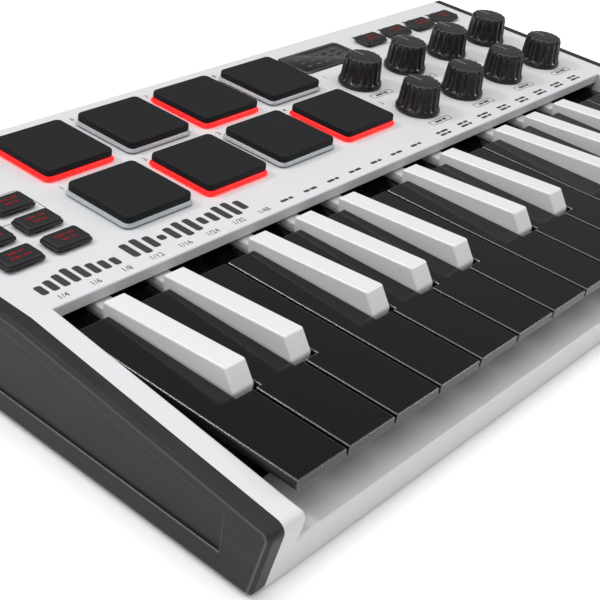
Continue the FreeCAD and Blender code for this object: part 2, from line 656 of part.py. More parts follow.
def make_cheeks():
    """Dark end cheeks with a shallow recess in their outer faces."""
    cheeks = []
    for side in (-1, 1):
        inner = f"{side} * unit_width / 2 - {(side + 1) // 2} * cheek_thickness"
        name = "left" if side < 0 else "right"
        blank = side_profile(f"{name}_cheek_blank", OUTLINE, inner, "cheek_thickness")
        rounded = round_edges(f"{name}_cheek_round", blank, cheek_corner)
        bevelled = bevel_outer_edges(f"{name}_cheek_bevel", rounded, side)
        recess = side_profile(f"{name}_cheek_recess", [
            (f"{FRONT} + recess_front", "foot_stand + recess_foot"),
            (f"{FRONT} + recess_front", "rail_height - recess_nose"),
            ("panel_front + cheek_border", "panel_height - cheek_border"),
            (f"{REAR} - recess_rear", "panel_height - cheek_border"),
            (f"{REAR} - recess_rear", "foot_stand + recess_foot"),
        ], f"{side} * (unit_width / 2 - cheek_recess / 2) - cheek_recess / 2 - 0.01 * {(1 - side) // 2}",
            "cheek_recess + 0.01")
        cheeks.append(cut(f"{name}_cheek", bevelled, [recess]))
    return group("cheeks_shape", cheeks)


def cheek_corner(edge):
    """Radius of each long corner of a cheek's outline."""
    bounds = edge.BoundBox
    at_lip = abs(bounds.YMax - sheet_value("panel_front")) < 0.01
    if bounds.XLength < sheet_value("cheek_thickness") / 2 or at_lip:
        return 0
    at_nose = bounds.YMax < 0 and bounds.ZMax > sheet_value("rail_height") / 2
    return sheet_value("rail_radius") if at_nose else sheet_value("rear_radius")


def bevel_outer_edges(name, base, side):
    """Chamfer the rim of a cheek's outer face."""
    doc.recompute()
    obj = doc.addObject("Part::Chamfer", name)
    obj.Base = base
    face_x = side * sheet_value("unit_width / 2")
    width = sheet_value("cheek_bevel")
    edges = []
    for number, edge in enumerate(base.Shape.Edges, start=1):
        bounds = edge.BoundBox
        if abs(bounds.XMin - face_x) < 0.01 and abs(bounds.XMax - face_x) < 0.01:
            edges.append((number, width, width))
    obj.Edges = edges
    return obj


# -------------------------------------------------------------------------- the keys
def make_natural(natural):
    """A natural key: playing plate notched for its sharps, tail, arm and hub."""
    name = f"natural_{natural + 1}"
    left = f"({WELL_LEFT} + {natural} * natural_pitch + key_gap / 2)"
    width = "natural_pitch - key_gap"
    plate_low = "(natural_top - natural_plate)"
    rear_left, rear_right, left_sharp, right_sharp = rear_span(natural)
    plate = box(name + "_plate", left, "natural_front", plate_low, width,
                "natural_rear - natural_front", "natural_plate")
    notches = []
    for here, start, length in ((left_sharp, f"{left} - 1", f"{rear_left} - {left} + 1"),
                                (right_sharp, rear_right, f"{left} + {width} - {rear_right} + 1")):
        if here:
            notches.append(box(f"{name}_notch_{len(notches)}", start, "sharp_front - notch_gap",
                               f"{plate_low} - 1",
                               length, "natural_rear - sharp_front + notch_gap + 1", "natural_plate + 2"))
    played = cut(name + "_played", plate, notches) if notches else plate
    tail = box(name + "_tail", rear_left, "natural_rear - 1", "natural_top - tail_drop - natural_plate",
               f"{rear_right} - {rear_left}", "tail_end - natural_rear + 1", "natural_plate")
    middle = f"(({rear_left} + {rear_right}) / 2)"
    return add_arm_and_hub(name, [played, tail], middle, "arm_width", plate_low)


def make_sharp(number, middle):
    """A sharp key: sloping cap, arm and hub."""
    name = f"sharp_{number}"
    foot = "(natural_top - sharp_depth)"
    cap = side_profile(name + "_cap", [
        ("sharp_front", foot),
        ("sharp_front", "natural_top"),
        ("sharp_front + sharp_rake", "natural_top + sharp_height"),
        ("sharp_rear", "natural_top + sharp_height - sharp_fall"),
        ("sharp_rear", foot),
    ], f"{middle} - sharp_width / 2", "sharp_width")
    tail = block(name + "_tail", middle, "sharp_rear + sharp_tail_reach / 2 - 1", foot,
                 "sharp_width - 2 * sharp_tail_inset", "sharp_tail_reach + 2",
                 "sharp_depth - sharp_tail_step")
    return add_arm_and_hub(name, [cap, tail], middle, "sharp_arm", foot)


def add_arm_and_hub(name, pieces, middle, width, top):
    """Hang a key on the pivot shaft."""
    low = "(natural_top - natural_plate - arm_drop)"
    front = "arm_front" if width == "arm_width" else "(sharp_front + sharp_arm_setback)"
    arm = block(name + "_arm", middle, f"({front} + pivot_y) / 2", low, width, f"pivot_y - {front}",
                f"{top} - {low} + sink")
    hub = bar(name + "_hub", "X", f"{middle} - {width} / 2", "pivot_y", "pivot_height", "hub_radius", width)
    bore = bar(name + "_bore", "X", f"{middle} - {width}", "pivot_y", "pivot_height",
               "shaft_radius + shaft_play", f"2 * {width}")
    return cut(name + "_shape", fuse(name + "_solid", pieces + [arm, hub]), [bore])


def ear_lines():
    """Where the pivot ears stand: between the arms of neighbouring keys."""
    yield f"{WELL_LEFT} + key_gap / 2"
    for natural in range(NATURALS):
        left, right, left_sharp, right_sharp = rear_span(natural)
        if left_sharp:
            yield f"{left} - sharp_gap / 2"
        if right_sharp:
            yield f"{right} + sharp_gap / 2"
        if not right_sharp and natural < NATURALS - 1:
            yield f"{right} + key_gap / 2"
    yield f"-{WELL_LEFT} - key_gap / 2"


def make_key_bed():
    """Black frame with pivot ears, the shaft, the stop felt and the contact strip."""
    half = f"({WELL_HALF} - bed_margin)"
    deck_low = "(deck_height - deck_thickness)"
    length = f"2 * {half}"
    pieces = [box("deck", f"-{half}", "bed_front", deck_low, length, "bed_rear - bed_front",
                  "deck_thickness")]
    for word, y in (("front", "bed_front"), ("rear", "bed_rear - deck_thickness")):
        pieces.append(box(f"bed_{word}_rib", f"-{half}", y, FLOOR_TOP, length, "deck_thickness",
                          f"deck_height - {FLOOR_TOP}"))
    pieces.append(block("stop_rail", "0", "stop_y", "deck_height - sink", length, "stop_width",
                        "stop_height + sink"))
    for number, x in enumerate(ear_lines(), start=1):
        pieces.append(block(f"ear_{number}", x, "pivot_y", "deck_height - sink", "ear_thickness",
                            "2 * hub_radius", "pivot_height + hub_radius - deck_height"))
    bore = bar("shaft_bore", "X", f"-{half} - 1", "pivot_y", "pivot_height", "shaft_radius",
               f"{length} + 2")
    frame = cut("bed_frame", fuse("bed_solid", pieces), [bore])
    shaft_half = f"({WELL_LEFT} - key_gap / 2)"
    shaft = bar("pivot_shaft", "X", shaft_half, "pivot_y", "pivot_height", "shaft_radius",
                f"-2 * {shaft_half}")
    felt = block("stop_felt", "0", "stop_y", "deck_height + stop_height", length, "stop_width",
                 "felt_thickness")
    strip = block("contact_base", "0", "contact_y", "deck_height + board_thickness", length,
                  "strip_depth", "strip_base")
    domes = []
    for number, x in enumerate(arm_middles(), start=1):
        dome = doc.addObject("Part::Cone", f"dome_{number}")
        bind(dome, Radius1="dome_foot", Radius2="dome_tip",
             Height="contact_height - board_thickness - strip_base + sink")
        domes.append(move(dome, x, "contact_y", "deck_height + board_thickness + strip_base - sink"))
    rubber = fuse("contact_strip", [strip] + domes)
    return group("key_bed_shape", [frame, shaft, felt, rubber])


def arm_middles():
    """The middle of every key's arm."""
    for natural in range(NATURALS):
        left, right, left_sharp, right_sharp = rear_span(natural)
        yield f"({left} + {right}) / 2"
    for natural, middle in sharp_middles():
        yield middle


# ----------------------------------------------------------------- pads and buttons
def make_pad(number, x, y):
    """One silicone pad: black cap, flared skirt and stem."""
    name = f"pad_{number}"
    skirt_low = "(panel_height + pad_lift)"
    cap_low = "(panel_height + pad_rise - pad_cap)"
    cap = block(name + "_cap", x, y, cap_low, "pad_size", "pad_size", "pad_cap")
    rounded = round_edges(name + "_cap_round", cap, upright_radius)
    skirt = frustum(name + "_skirt", x, y, skirt_low, "pad_size + 2 * pad_flare",
                    "pad_size + 2 * pad_flare",
                    "pad_size - 2 * pad_tuck", "pad_size - 2 * pad_tuck",
                    f"{cap_low} - {skirt_low} + cap_seat")
    stem = block(name + "_stem", x, y, "board_top + pad_lift", "pad_stem", "pad_stem",
                 f"{cap_low} - board_top - pad_lift")
    return fuse(name + "_shape", [rounded, skirt, stem])


def upright_radius(edge):
    return sheet_value("pad_corner") if edge.BoundBox.ZLength > 1 else 0


def make_button(name, x, y):
    """One rubber button: cap, flared skirt and stem."""
    skirt_low = "(panel_height + button_lift)"
    cap_low = f"({skirt_low} + button_skirt)"
    cap = frustum(name + "_cap", x, y, cap_low, "button_width", "button_depth",
                  "button_width - 2 * button_draft",
                  "button_depth - 2 * button_draft", f"panel_height + button_rise - {cap_low}")
    skirt = frustum(name + "_skirt", x, y, skirt_low, "button_width + 2 * button_flare",
                    "button_depth + 2 * button_flare", "button_width", "button_depth", "button_skirt")
    stem_low = "(board_top + switch_height + button_lift)"
    stem = block(name + "_stem", x, y, stem_low, "button_stem", "button_stem", f"{cap_low} - {stem_low}")
    return fuse(name + "_shape", [cap, skirt, stem])


def make_knob(number, x, y):
    """One encoder knob with its shaft."""
    name = f"knob_{number}"
    low = "(panel_height + knob_lift)"
    foot = post(name + "_foot", x, y, low, "knob_foot_radius", "knob_foot")
    grip = doc.addObject("Part::Cone", name + "_grip")
    bind(grip, Radius1="knob_foot_radius - knob_step", Radius2="knob_top_radius")
    bind(grip, Height="knob_rise - knob_lift - knob_foot")
    move(grip, x, y, f"{low} + knob_foot")
    hollow = post(name + "_hollow", x, y, f"{low} - 1", "knob_foot_radius - knob_wall",
                  "knob_foot + knob_hollow + 1")
    shaft_low = "(board_top + shaft_lift)"
    shaft = post(name + "_shaft", x, y, shaft_low, "knob_stem_radius",
                 f"{low} + knob_foot + knob_hollow + 2 - {shaft_low}")
    cap = cut(name + "_cap", fuse(name + "_blank", [foot, grip]), [hollow])
    return fuse(name + "_shape", [cap, shaft])


# ------------------------------------------------------------------------- joystick
def make_gimbal_ring():
    """Ring that tilts fore and aft on two pins in the yoke."""
    low = "(stick_pivot - ring_height / 2)"
    blank = post("ring_blank", "stick_x", "stick_y", low, "ring_outer", "ring_height")
    eye = post("ring_eye", "stick_x", "stick_y", f"{low} - 1", "ring_inner", "ring_height + 2")
    holes = bar("ring_holes", "Y", "stick_x", "stick_y - ring_outer - 1", "stick_pivot",
                "pin_radius + pin_play", "2 * ring_outer + 2")
    ring = cut("ring_bored", blank, [eye, holes])
    reach = "(ring_outer + yoke_gap + yoke_thickness - fit_gap)"
    pins = bar("ring_pins", "X", f"stick_x - {reach}", "stick_y", "stick_pivot", "pin_radius",
               f"2 * {reach}")
    gap = post("pin_gap", "stick_x", "stick_y", f"{low} - 2", "ring_inner + pin_seat", "ring_height + 4")
    return fuse("ring_shape", [ring, cut("ring_pin_pair", pins, [gap])])


def make_stick():
    """Thumb stick: dished cap, neck, dome, stem and cross pin."""
    ball = doc.addObject("Part::Sphere", "dome_ball")
    move(bind(ball, Radius="dome_radius"), "stick_x", "stick_y", "stick_pivot")
    inner = doc.addObject("Part::Sphere", "dome_inside")
    move(bind(inner, Radius="dome_radius - dome_wall"), "stick_x", "stick_y", "stick_pivot")
    below = post("below_dome", "stick_x", "stick_y", "stick_pivot - dome_radius - 1", "dome_radius + 1",
                 "dome_radius + 1 + dome_edge")
    dome = cut("dome", ball, [inner, below])
    neck = post("stick_neck", "stick_x", "stick_y", "stick_pivot", "neck_radius",
                "thumb_top - 1 - stick_pivot")
    thin = post("stick_waist_room", "stick_x", "stick_y", "stick_pivot - 1", "neck_radius + 1",
                "dome_radius - dome_wall - 1")
    waist = post("stick_waist", "stick_x", "stick_y", "stick_pivot - waist_drop", "pin_radius + waist_wall",
                 "dome_radius - dome_wall + 2")
    cap = post("thumb_cap", "stick_x", "stick_y", "thumb_top - thumb_height", "thumb_radius",
               "thumb_height")
    dish = doc.addObject("Part::Sphere", "thumb_dish")
    move(bind(dish, Radius="dish_radius"), "stick_x", "stick_y", "thumb_top + dish_radius - dish_depth")
    pin = bar("stick_pin", "Y", "stick_x", "stick_y - ring_outer + fit_gap", "stick_pivot", "pin_radius",
              "2 * ring_outer - 2 * fit_gap")
    upper = cut("stick_upper", fuse("stick_top", [cap, cut("stick_neck_cut", neck, [thin])]), [dish])
    return fuse("stick_shape", [upper, dome, waist, pin])


def make_yoke():
    """Base and ears that carry the gimbal ring."""
    base = block("yoke_base", "stick_x", "stick_y", f"{STICK_BOARD} + board_thickness",
                 "2 * dome_radius", "2 * ring_inner", "yoke_base")
    ears = []
    for side in (-1, 1):
        x = f"stick_x + {side} * (ring_outer + yoke_gap + yoke_thickness / 2)"
        low = f"({STICK_BOARD} + board_thickness + yoke_base - sink)"
        ears.append(block(f"yoke_ear_{side}", x, "stick_y", low, "yoke_thickness", "yoke_ear",
                          f"stick_pivot + yoke_ear / 2 - {low}"))
    bore = bar("yoke_bore", "X", "stick_x - dome_radius", "stick_y", "stick_pivot", "pin_radius + pin_play",
               "2 * dome_radius")
    return cut("yoke", fuse("yoke_solid", [base] + ears), [bore])


# ---------------------------------------------------------------------- electronics
def make_circuit_boards():
    """Boards with encoders, switches, display module and joystick yoke."""
    half = f"({CASE_HALF} - wall - board_side_gap)"
    low = "(board_top - board_thickness)"
    stick_side = "(stick_x + dome_radius + stick_room_side)"
    stick_front = "(stick_y - dome_radius - stick_room_front)"
    main = fuse("main_board", [
        box("main_board_right", stick_side, "board_front", low, f"{half} - {stick_side}",
            "board_rear - board_front", "board_thickness"),
        box("main_board_left", f"-{half}", "board_front", low, f"{stick_side} + {half} + 1",
            f"{stick_front} - board_front", "board_thickness")])
    pieces = [main]
    pieces.append(block("stick_board", "stick_x", "stick_y", STICK_BOARD, "stick_board_width",
                        "stick_board_depth", "board_thickness"))
    pieces.append(make_yoke())
    pieces.append(block("contact_board", "0", "contact_y", "deck_height", f"2 * ({WELL_HALF} - bed_margin)",
                        "contact_board_depth", "board_thickness"))
    for number, (x, y) in enumerate(knob_middles(), start=1):
        case = block(f"encoder_case_{number}", x, y, "board_top", "encoder_size", "encoder_size",
                     "encoder_height")
        bush = post(f"encoder_bore_{number}", x, y, "board_top + encoder_floor",
                    "knob_stem_radius + bush_play",
                    "encoder_height")
        pieces.append(cut(f"encoder_{number}", case, [bush]))
    for number, (x, y) in enumerate(list(left_button_middles()) + list(right_button_middles()), start=1):
        pieces.append(block(f"switch_{number}", x, y, "board_top", "switch_size", "switch_size",
                            "switch_height"))
    pieces.append(block("display", "window_x", "window_y", "board_top", "window_width", "window_depth",
                        "panel_height - board_top - window_sink"))
    return group("circuit_boards_shape", pieces)


def make_sockets():
    """USB socket and pedal jack under the main board, facing the rear."""
    top = "(board_top - board_thickness)"
    usb_low = f"({top} - usb_height)"
    rear = f"({REAR} - fit_gap)"
    shell = block("usb_shell", "usb_x", f"{rear} - usb_length / 2", usb_low, "usb_width", "usb_length",
                  "usb_height")
    port = block("usb_port", "usb_x", f"{rear} - usb_length / 2 + usb_back",
                 f"{usb_low} + usb_height / 2 - usb_port_height / 2",
                 "usb_port_width", "usb_length", "usb_port_height")
    tongue = block("usb_tongue", "usb_x", f"{rear} - usb_length + (usb_back + tongue_length) / 2",
                   f"{usb_low} + usb_height / 2 - tongue_height / 2", "tongue_width", "tongue_length",
                   "tongue_height")
    usb = fuse("usb_socket", [cut("usb_hollow", shell, [port]), tongue])
    jack_axis = f"({top} - jack_size / 2)"
    body = block("jack_body", "jack_x", f"{REAR} - wall - fit_gap - jack_length / 2", f"{top} - jack_size",
                 "jack_size", "jack_length", "jack_size")
    nose = bar("jack_nose_ring", "Y", "jack_x", f"{REAR} - 2 * wall", jack_axis, "jack_nose",
               "2 * wall - fit_gap")
    bore = bar("jack_bore_hole", "Y", "jack_x", f"{rear} - jack_depth", jack_axis, "jack_bore",
               "jack_depth + 1")
    return group("sockets_shape", [usb, cut("pedal_jack", fuse("jack_solid", [body, nose]), [bore])])


# --------------------------------------------------------------------- the document
node("top_case", make_top_case())
node("bottom_case", make_bottom_case())
node("end_cheeks", make_cheeks())
node("rubber_feet", make_feet())
node("key_bed", make_key_bed())
node("circuit_boards", make_circuit_boards())
node("rear_sockets", make_sockets())
for index in range(NATURALS):
    node(f"natural_key_{index + 1:02d}", make_natural(index))
for index, (neighbour, place) in enumerate(sharp_middles(), start=1):
    node(f"sharp_key_{index:02d}", make_sharp(index, place))
for index, (x_place, y_place) in enumerate(pad_middles(), start=1):
    node(f"pad_{index}", make_pad(index, x_place, y_place))
for index, (x_place, y_place) in enumerate(left_button_middles(), start=1):
    node(f"left_button_{index}", make_button(f"left_button_{index}", x_place, y_place))
for index, (x_place, y_place) in enumerate(right_button_middles(), start=1):
    node(f"right_button_{index}", make_button(f"right_button_{index}", x_place, y_place))
for index, (x_place, y_place) in enumerate(knob_middles(), start=1):
    node(f"knob_{index}", make_knob(index, x_place, y_place))
node("joystick_ring", make_gimbal_ring())
node("joystick_stick", make_stick())

doc.recompute()
for obj in doc.Objects:
    faults = {"Invalid", "Error"} & set(obj.State)
    if faults:
        raise RuntimeError(f"{obj.Name} is {sorted(faults)}")
for obj in nodes:
    if obj.Shape.isNull() or not obj.Shape.isValid() or not obj.Shape.Solids:
        raise RuntimeError(f"{obj.Label} has no sound shape")

os.makedirs("parts", exist_ok=True)
for obj in nodes:
    obj.Shape.exportStep(f"parts/{obj.Label}.step")
print(len(nodes), "sub-parts")
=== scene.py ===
import math

import bmesh
import bpy
from bpy.props import FloatProperty, FloatVectorProperty, IntProperty, PointerProperty
from mathutils import Matrix, Vector


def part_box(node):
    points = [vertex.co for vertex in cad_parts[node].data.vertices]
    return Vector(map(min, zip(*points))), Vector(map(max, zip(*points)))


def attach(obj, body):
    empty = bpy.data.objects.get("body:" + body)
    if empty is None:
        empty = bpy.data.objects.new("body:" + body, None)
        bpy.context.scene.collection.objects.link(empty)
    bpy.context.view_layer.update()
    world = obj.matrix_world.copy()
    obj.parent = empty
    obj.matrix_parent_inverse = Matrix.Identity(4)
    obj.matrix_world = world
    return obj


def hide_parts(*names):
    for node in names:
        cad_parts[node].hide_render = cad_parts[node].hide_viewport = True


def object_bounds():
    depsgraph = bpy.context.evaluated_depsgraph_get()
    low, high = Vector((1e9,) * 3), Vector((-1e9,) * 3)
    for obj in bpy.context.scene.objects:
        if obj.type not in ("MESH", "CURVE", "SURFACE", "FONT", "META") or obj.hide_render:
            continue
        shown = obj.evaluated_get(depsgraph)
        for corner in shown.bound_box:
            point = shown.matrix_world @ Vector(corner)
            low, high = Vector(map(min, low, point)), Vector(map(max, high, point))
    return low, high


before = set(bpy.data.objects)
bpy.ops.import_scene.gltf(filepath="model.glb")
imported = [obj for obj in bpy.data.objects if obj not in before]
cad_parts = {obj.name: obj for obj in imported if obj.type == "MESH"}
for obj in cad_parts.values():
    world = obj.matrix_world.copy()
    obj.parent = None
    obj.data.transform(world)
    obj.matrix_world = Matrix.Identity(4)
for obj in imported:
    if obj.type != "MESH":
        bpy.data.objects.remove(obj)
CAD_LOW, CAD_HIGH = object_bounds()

bl_info = {
    "name": "Mini Keyboard Controller",
    "version": (1, 0, 0),
    "blender": (4, 5, 0),
    "location": "View3D > Sidebar > Keyboard",
    "description": "Builds the visual model of a mini keyboard controller around its CAD frame",
    "category": "Object",
}

MM = 0.001
CASE = "case"
NATURALS = [f"natural_key_{number:02d}" for number in range(1, 16)]
SHARPS = [f"sharp_key_{number:02d}" for number in range(1, 11)]
PADS = [f"pad_{number}" for number in range(1, 9)]
LIT_PADS = {"pad_2", "pad_4", "pad_5", "pad_7"}
KNOBS = [f"knob_{number}" for number in range(1, 9)]
LEFT_BUTTONS = [f"left_button_{number}" for number in range(1, 7)]
RIGHT_BUTTONS = [f"right_button_{number}" for number in range(1, 5)]

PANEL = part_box("top_case")[1].z
PRINT_LIFT = 0.005 * MM
PANEL_TOP = PANEL + PRINT_LIFT

CLOUD_DETAIL = 4.0
GRAIN_DETAIL = 3.0
WELD = 1e-6
SMALLEST_CORNER = 0.05 * MM
DASH_CORNER = 0.2
FIGURE_STEPS = 3
FLAT_ANGLE = math.radians(1)
EDGE_ANGLE = math.radians(25)


def middle_of(node):
    """Middle of a CAD node's box in plan."""
    low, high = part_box(node)
    return (low + high) / 2


# --------------------------------------------------------------------------- settings
class KeyboardFinish(bpy.types.PropertyGroup):
    """Colours of the keyboard's finishes"""

    case_white: FloatVectorProperty(name="Case white", description="Colour of the moulded case",
                                    subtype="COLOR", default=(0.52, 0.528, 0.54))
    cheek_grey: FloatVectorProperty(name="Cheek grey", description="Colour of the end cheeks",
                                    subtype="COLOR", default=(0.0045, 0.005, 0.0056))
    key_black: FloatVectorProperty(name="Natural key black", description="Colour of the natural keys",
                                   subtype="COLOR", default=(0.002, 0.002, 0.0024))
    key_white: FloatVectorProperty(name="Sharp key white", description="Colour of the sharp keys",
                                   subtype="COLOR", default=(0.57, 0.577, 0.588))
    pad_black: FloatVectorProperty(name="Pad black", description="Colour of the pads' rubber",
                                   subtype="COLOR", default=(0.0045, 0.005, 0.006))
    glow_red: FloatVectorProperty(name="Glow red", description="Colour of the lit skirts and legends",
                                  subtype="COLOR", default=(1.0, 0.012, 0.012))
    ink: FloatVectorProperty(name="Ink", description="Colour of the printed marks",
                             subtype="COLOR", default=(0.012, 0.012, 0.013))


class KeyboardSizes(bpy.types.PropertyGroup):
    """Small sizes that belong to the looks only"""

    natural_edge: FloatProperty(name="Natural key edge", description="Edge radius of the natural keys",
                                subtype="DISTANCE", default=0.4 * MM)
    sharp_edge: FloatProperty(name="Sharp key edge", description="Edge radius of the sharp keys",
                              subtype="DISTANCE", default=0.75 * MM)
    knob_flutes: IntProperty(name="Knob flutes", description="Grooves round a knob's grip", default=16, min=6)
    flute_depth: FloatProperty(name="Flute depth", description="Depth of a knob's grooves",
                               subtype="DISTANCE", default=0.55 * MM)
    ink_height: FloatProperty(name="Ink height", description="Thickness of the printed marks",
                              subtype="DISTANCE", default=0.03 * MM)


# --------------------------------------------------------------------------- finishes
def surface(name, color, shade, roughness, spread=0.05, grain=1500.0, stretch=(1, 1, 1), bump=0.1,
            relief=0.02, clouds=25.0, **constants):
    """A moulded finish: cloudy colour, grain in the gloss and a fine relief."""
    material = bpy.data.materials.new(name)
    material.use_nodes = True
    nodes, links = material.node_tree.nodes, material.node_tree.links
    shader = nodes["Principled BSDF"]
    place = nodes.new("ShaderNodeTexCoord")
    mapping = nodes.new("ShaderNodeMapping")
    mapping.inputs["Scale"].default_value = stretch
    links.new(place.outputs["Object"], mapping.inputs["Vector"])

    cloud = nodes.new("ShaderNodeTexNoise")
    cloud.inputs["Scale"].default_value = clouds
    cloud.inputs["Detail"].default_value = CLOUD_DETAIL
    links.new(mapping.outputs["Vector"], cloud.inputs["Vector"])
    mix = nodes.new("ShaderNodeMix")
    mix.data_type = "RGBA"
    mix.inputs["A"].default_value = (*color, 1.0)
    mix.inputs["B"].default_value = (*[channel * shade for channel in color], 1.0)
    links.new(cloud.outputs["Fac"], mix.inputs["Factor"])
    links.new(mix.outputs["Result"], shader.inputs["Base Color"])

    fine = nodes.new("ShaderNodeTexNoise")
    fine.inputs["Scale"].default_value = grain
    fine.inputs["Detail"].default_value = GRAIN_DETAIL
    links.new(mapping.outputs["Vector"], fine.inputs["Vector"])
    gloss = nodes.new("ShaderNodeMapRange")
    gloss.inputs["To Min"].default_value = roughness - spread
    gloss.inputs["To Max"].default_value = roughness + spread
    links.new(fine.outputs["Fac"], gloss.inputs["Value"])
    links.new(gloss.outputs["Result"], shader.inputs["Roughness"])
    ridge = nodes.new("ShaderNodeBump")
    ridge.inputs["Strength"].default_value = bump
    ridge.inputs["Distance"].default_value = relief * MM
    links.new(fine.outputs["Fac"], ridge.inputs["Height"])
    links.new(ridge.outputs["Normal"], shader.inputs["Normal"])
    for socket, value in constants.items():
        shader.inputs[socket.replace("_", " ")].default_value = value
    return material


def band(material, axis, edge, color, roughness, above=True):
    """Give a finish another colour and gloss beyond a plane across one axis."""
    nodes, links = material.node_tree.nodes, material.node_tree.links
    shader = nodes["Principled BSDF"]
    place = nodes.new("ShaderNodeTexCoord")
    split = nodes.new("ShaderNodeSeparateXYZ")
    test = nodes.new("ShaderNodeMath")
    test.operation = "GREATER_THAN" if above else "LESS_THAN"
    test.inputs[1].default_value = edge
    links.new(place.outputs["Object"], split.inputs["Vector"])
    links.new(split.outputs[axis], test.inputs[0])
    tint = nodes.new("ShaderNodeMix")
    tint.data_type = "RGBA"
    links.new(shader.inputs["Base Color"].links[0].from_socket, tint.inputs["A"])
    tint.inputs["B"].default_value = (*color, 1.0)
    links.new(test.outputs["Value"], tint.inputs["Factor"])
    links.new(tint.outputs["Result"], shader.inputs["Base Color"])
    gloss = nodes.new("ShaderNodeMix")
    links.new(shader.inputs["Roughness"].links[0].from_socket, gloss.inputs["A"])
    gloss.inputs["B"].default_value = roughness
    links.new(test.outputs["Value"], gloss.inputs["Factor"])
    links.new(gloss.outputs["Result"], shader.inputs["Roughness"])
    return material


def glowing(name, color, strength, dim, scale=400.0):
    """A lit translucent finish whose glow is a little uneven."""
    material = surface(name, color, 0.8, 0.35, spread=0.06, clouds=scale,
                       Subsurface_Weight=0.1, Specular_IOR_Level=0.15)
    nodes, links = material.node_tree.nodes, material.node_tree.links
    shader = nodes["Principled BSDF"]
    place = nodes.new("ShaderNodeTexCoord")
    noise = nodes.new("ShaderNodeTexNoise")
    noise.inputs["Scale"].default_value = scale
    links.new(place.outputs["Object"], noise.inputs["Vector"])
    level = nodes.new("ShaderNodeMix")
    level.data_type = "RGBA"
    level.inputs["A"].default_value = (*color, 1.0)
    level.inputs["B"].default_value = (*[channel * dim for channel in color], 1.0)
    links.new(noise.outputs["Fac"], level.inputs["Factor"])
    links.new(level.outputs["Result"], shader.inputs["Emission Color"])
    shader.inputs["Emission Strength"].default_value = strength
    return material


# ------------------------------------------------------------------------ mesh helpers
def add_piece(name, mesh, material, body, slot, *nodes, angle=35.0):
    """Link a finished mesh, shade it, and hang it on its body."""
    if material:
        mesh.materials.append(material)
    piece = bpy.data.objects.new(name, mesh)
    bpy.context.scene.collection.objects.link(piece)
    for face in mesh.polygons:
        face.use_smooth = True
    mesh.set_sharp_from_angle(angle=math.radians(angle))
    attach(piece, body)
    if nodes:
        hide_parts(*nodes)
    return piece


def mesh_from(name, shape):
    """Turn a bmesh into a mesh with its faces outward."""
    bmesh.ops.recalc_face_normals(shape, faces=shape.faces)
    mesh = bpy.data.meshes.new(name)
    shape.to_mesh(mesh)
    shape.free()
    return mesh


def loft(shape, rings):
    """Join closed rings of points into a capped solid."""
    rows = [[shape.verts.new(point) for point in ring] for ring in rings]
    count = len(rows[0])
    for lower, upper in zip(rows, rows[1:]):
        for index in range(count):
            after = (index + 1) % count
            shape.faces.new((lower[index], lower[after], upper[after], upper[index]))
    shape.faces.new(list(reversed(rows[0])))
    shape.faces.new(rows[-1])


def rounded_ring(middle, half_x, half_y, corner, z, steps=5):
    """Points round a rectangle with arcs at its corners."""
    points = []
    for quarter, (side_x, side_y) in enumerate(((1, 1), (-1, 1), (-1, -1), (1, -1))):
        for step in range(steps + 1):
            angle = math.pi / 2 * (quarter + step / steps)
            x = middle[0] + side_x * (half_x - corner) + corner * math.cos(angle)
            y = middle[1] + side_y * (half_y - corner) + corner * math.sin(angle)
            points.append((x, y, z))
    return points


def slab(shape, middle, half_x, half_y, corner, profile, steps=5):
    """A rounded block; the profile lists how far each ring grows, and its height."""
    rings = []
    for grow, z in profile:
        radius = max(corner + grow, SMALLEST_CORNER)
        rings.append(rounded_ring(middle, half_x + grow, half_y + grow, radius, z, steps))
    loft(shape, rings)


def bevelled(shape, edges, radius, segments=3, slot=-1):
    """Round edges, and give the new faces a material slot of their own."""
    bmesh.ops.bevel(shape, geom=edges, offset=radius, segments=segments, profile=0.5,
                    affect="EDGES", clamp_overlap=True, material=slot)


def merge(target, source):
    """Move one bmesh's solids into another."""
    mesh = bpy.data.meshes.new("merge")
    source.to_mesh(mesh)
    source.free()
    target.from_mesh(mesh)
    bpy.data.meshes.remove(mesh)


def turned(shape, middle, profile, count=64, flutes=0, depth=0.0):
    """Loft turned rings of (radius, height, how much of the flutes shows)."""
    rings = []
    for radius, z, share in profile:
        ring = []
        for index in range(count):
            angle = math.tau * index / count + math.pi / 2
            groove = (0.5 - 0.5 * math.cos(flutes * (angle - math.pi / 2))) ** 1.6 if flutes else 0.0
            reach = radius - share * depth * groove
            ring.append((middle[0] + reach * math.cos(angle), middle[1] + reach * math.sin(angle), z))
        rings.append(ring)
    loft(shape, rings)


def outline_ring(shape, middle, half_x, half_y, corner, line, low, high, steps=4):
    """A closed flat line that follows a rounded rectangle."""
    rows = []
    for grow, z in ((0, low), (0, high), (-line, high), (-line, low)):
        radius = max(corner + grow, SMALLEST_CORNER)
        points = rounded_ring(middle, half_x + grow, half_y + grow, radius, z, steps)
        rows.append([shape.verts.new(point) for point in points])
    count = len(rows[0])
    for lower, upper in zip(rows, rows[1:] + rows[:1]):
        for index in range(count):
            after = (index + 1) % count
            shape.faces.new((lower[index], lower[after], upper[after], upper[index]))


def dash(shape, x, y, width, depth, low, high):
    """A printed bar from its middle."""
    corner = min(width, depth) * DASH_CORNER
    slab(shape, (x, y), width / 2, depth / 2, corner, [(0, low), (0, high)], steps=1)


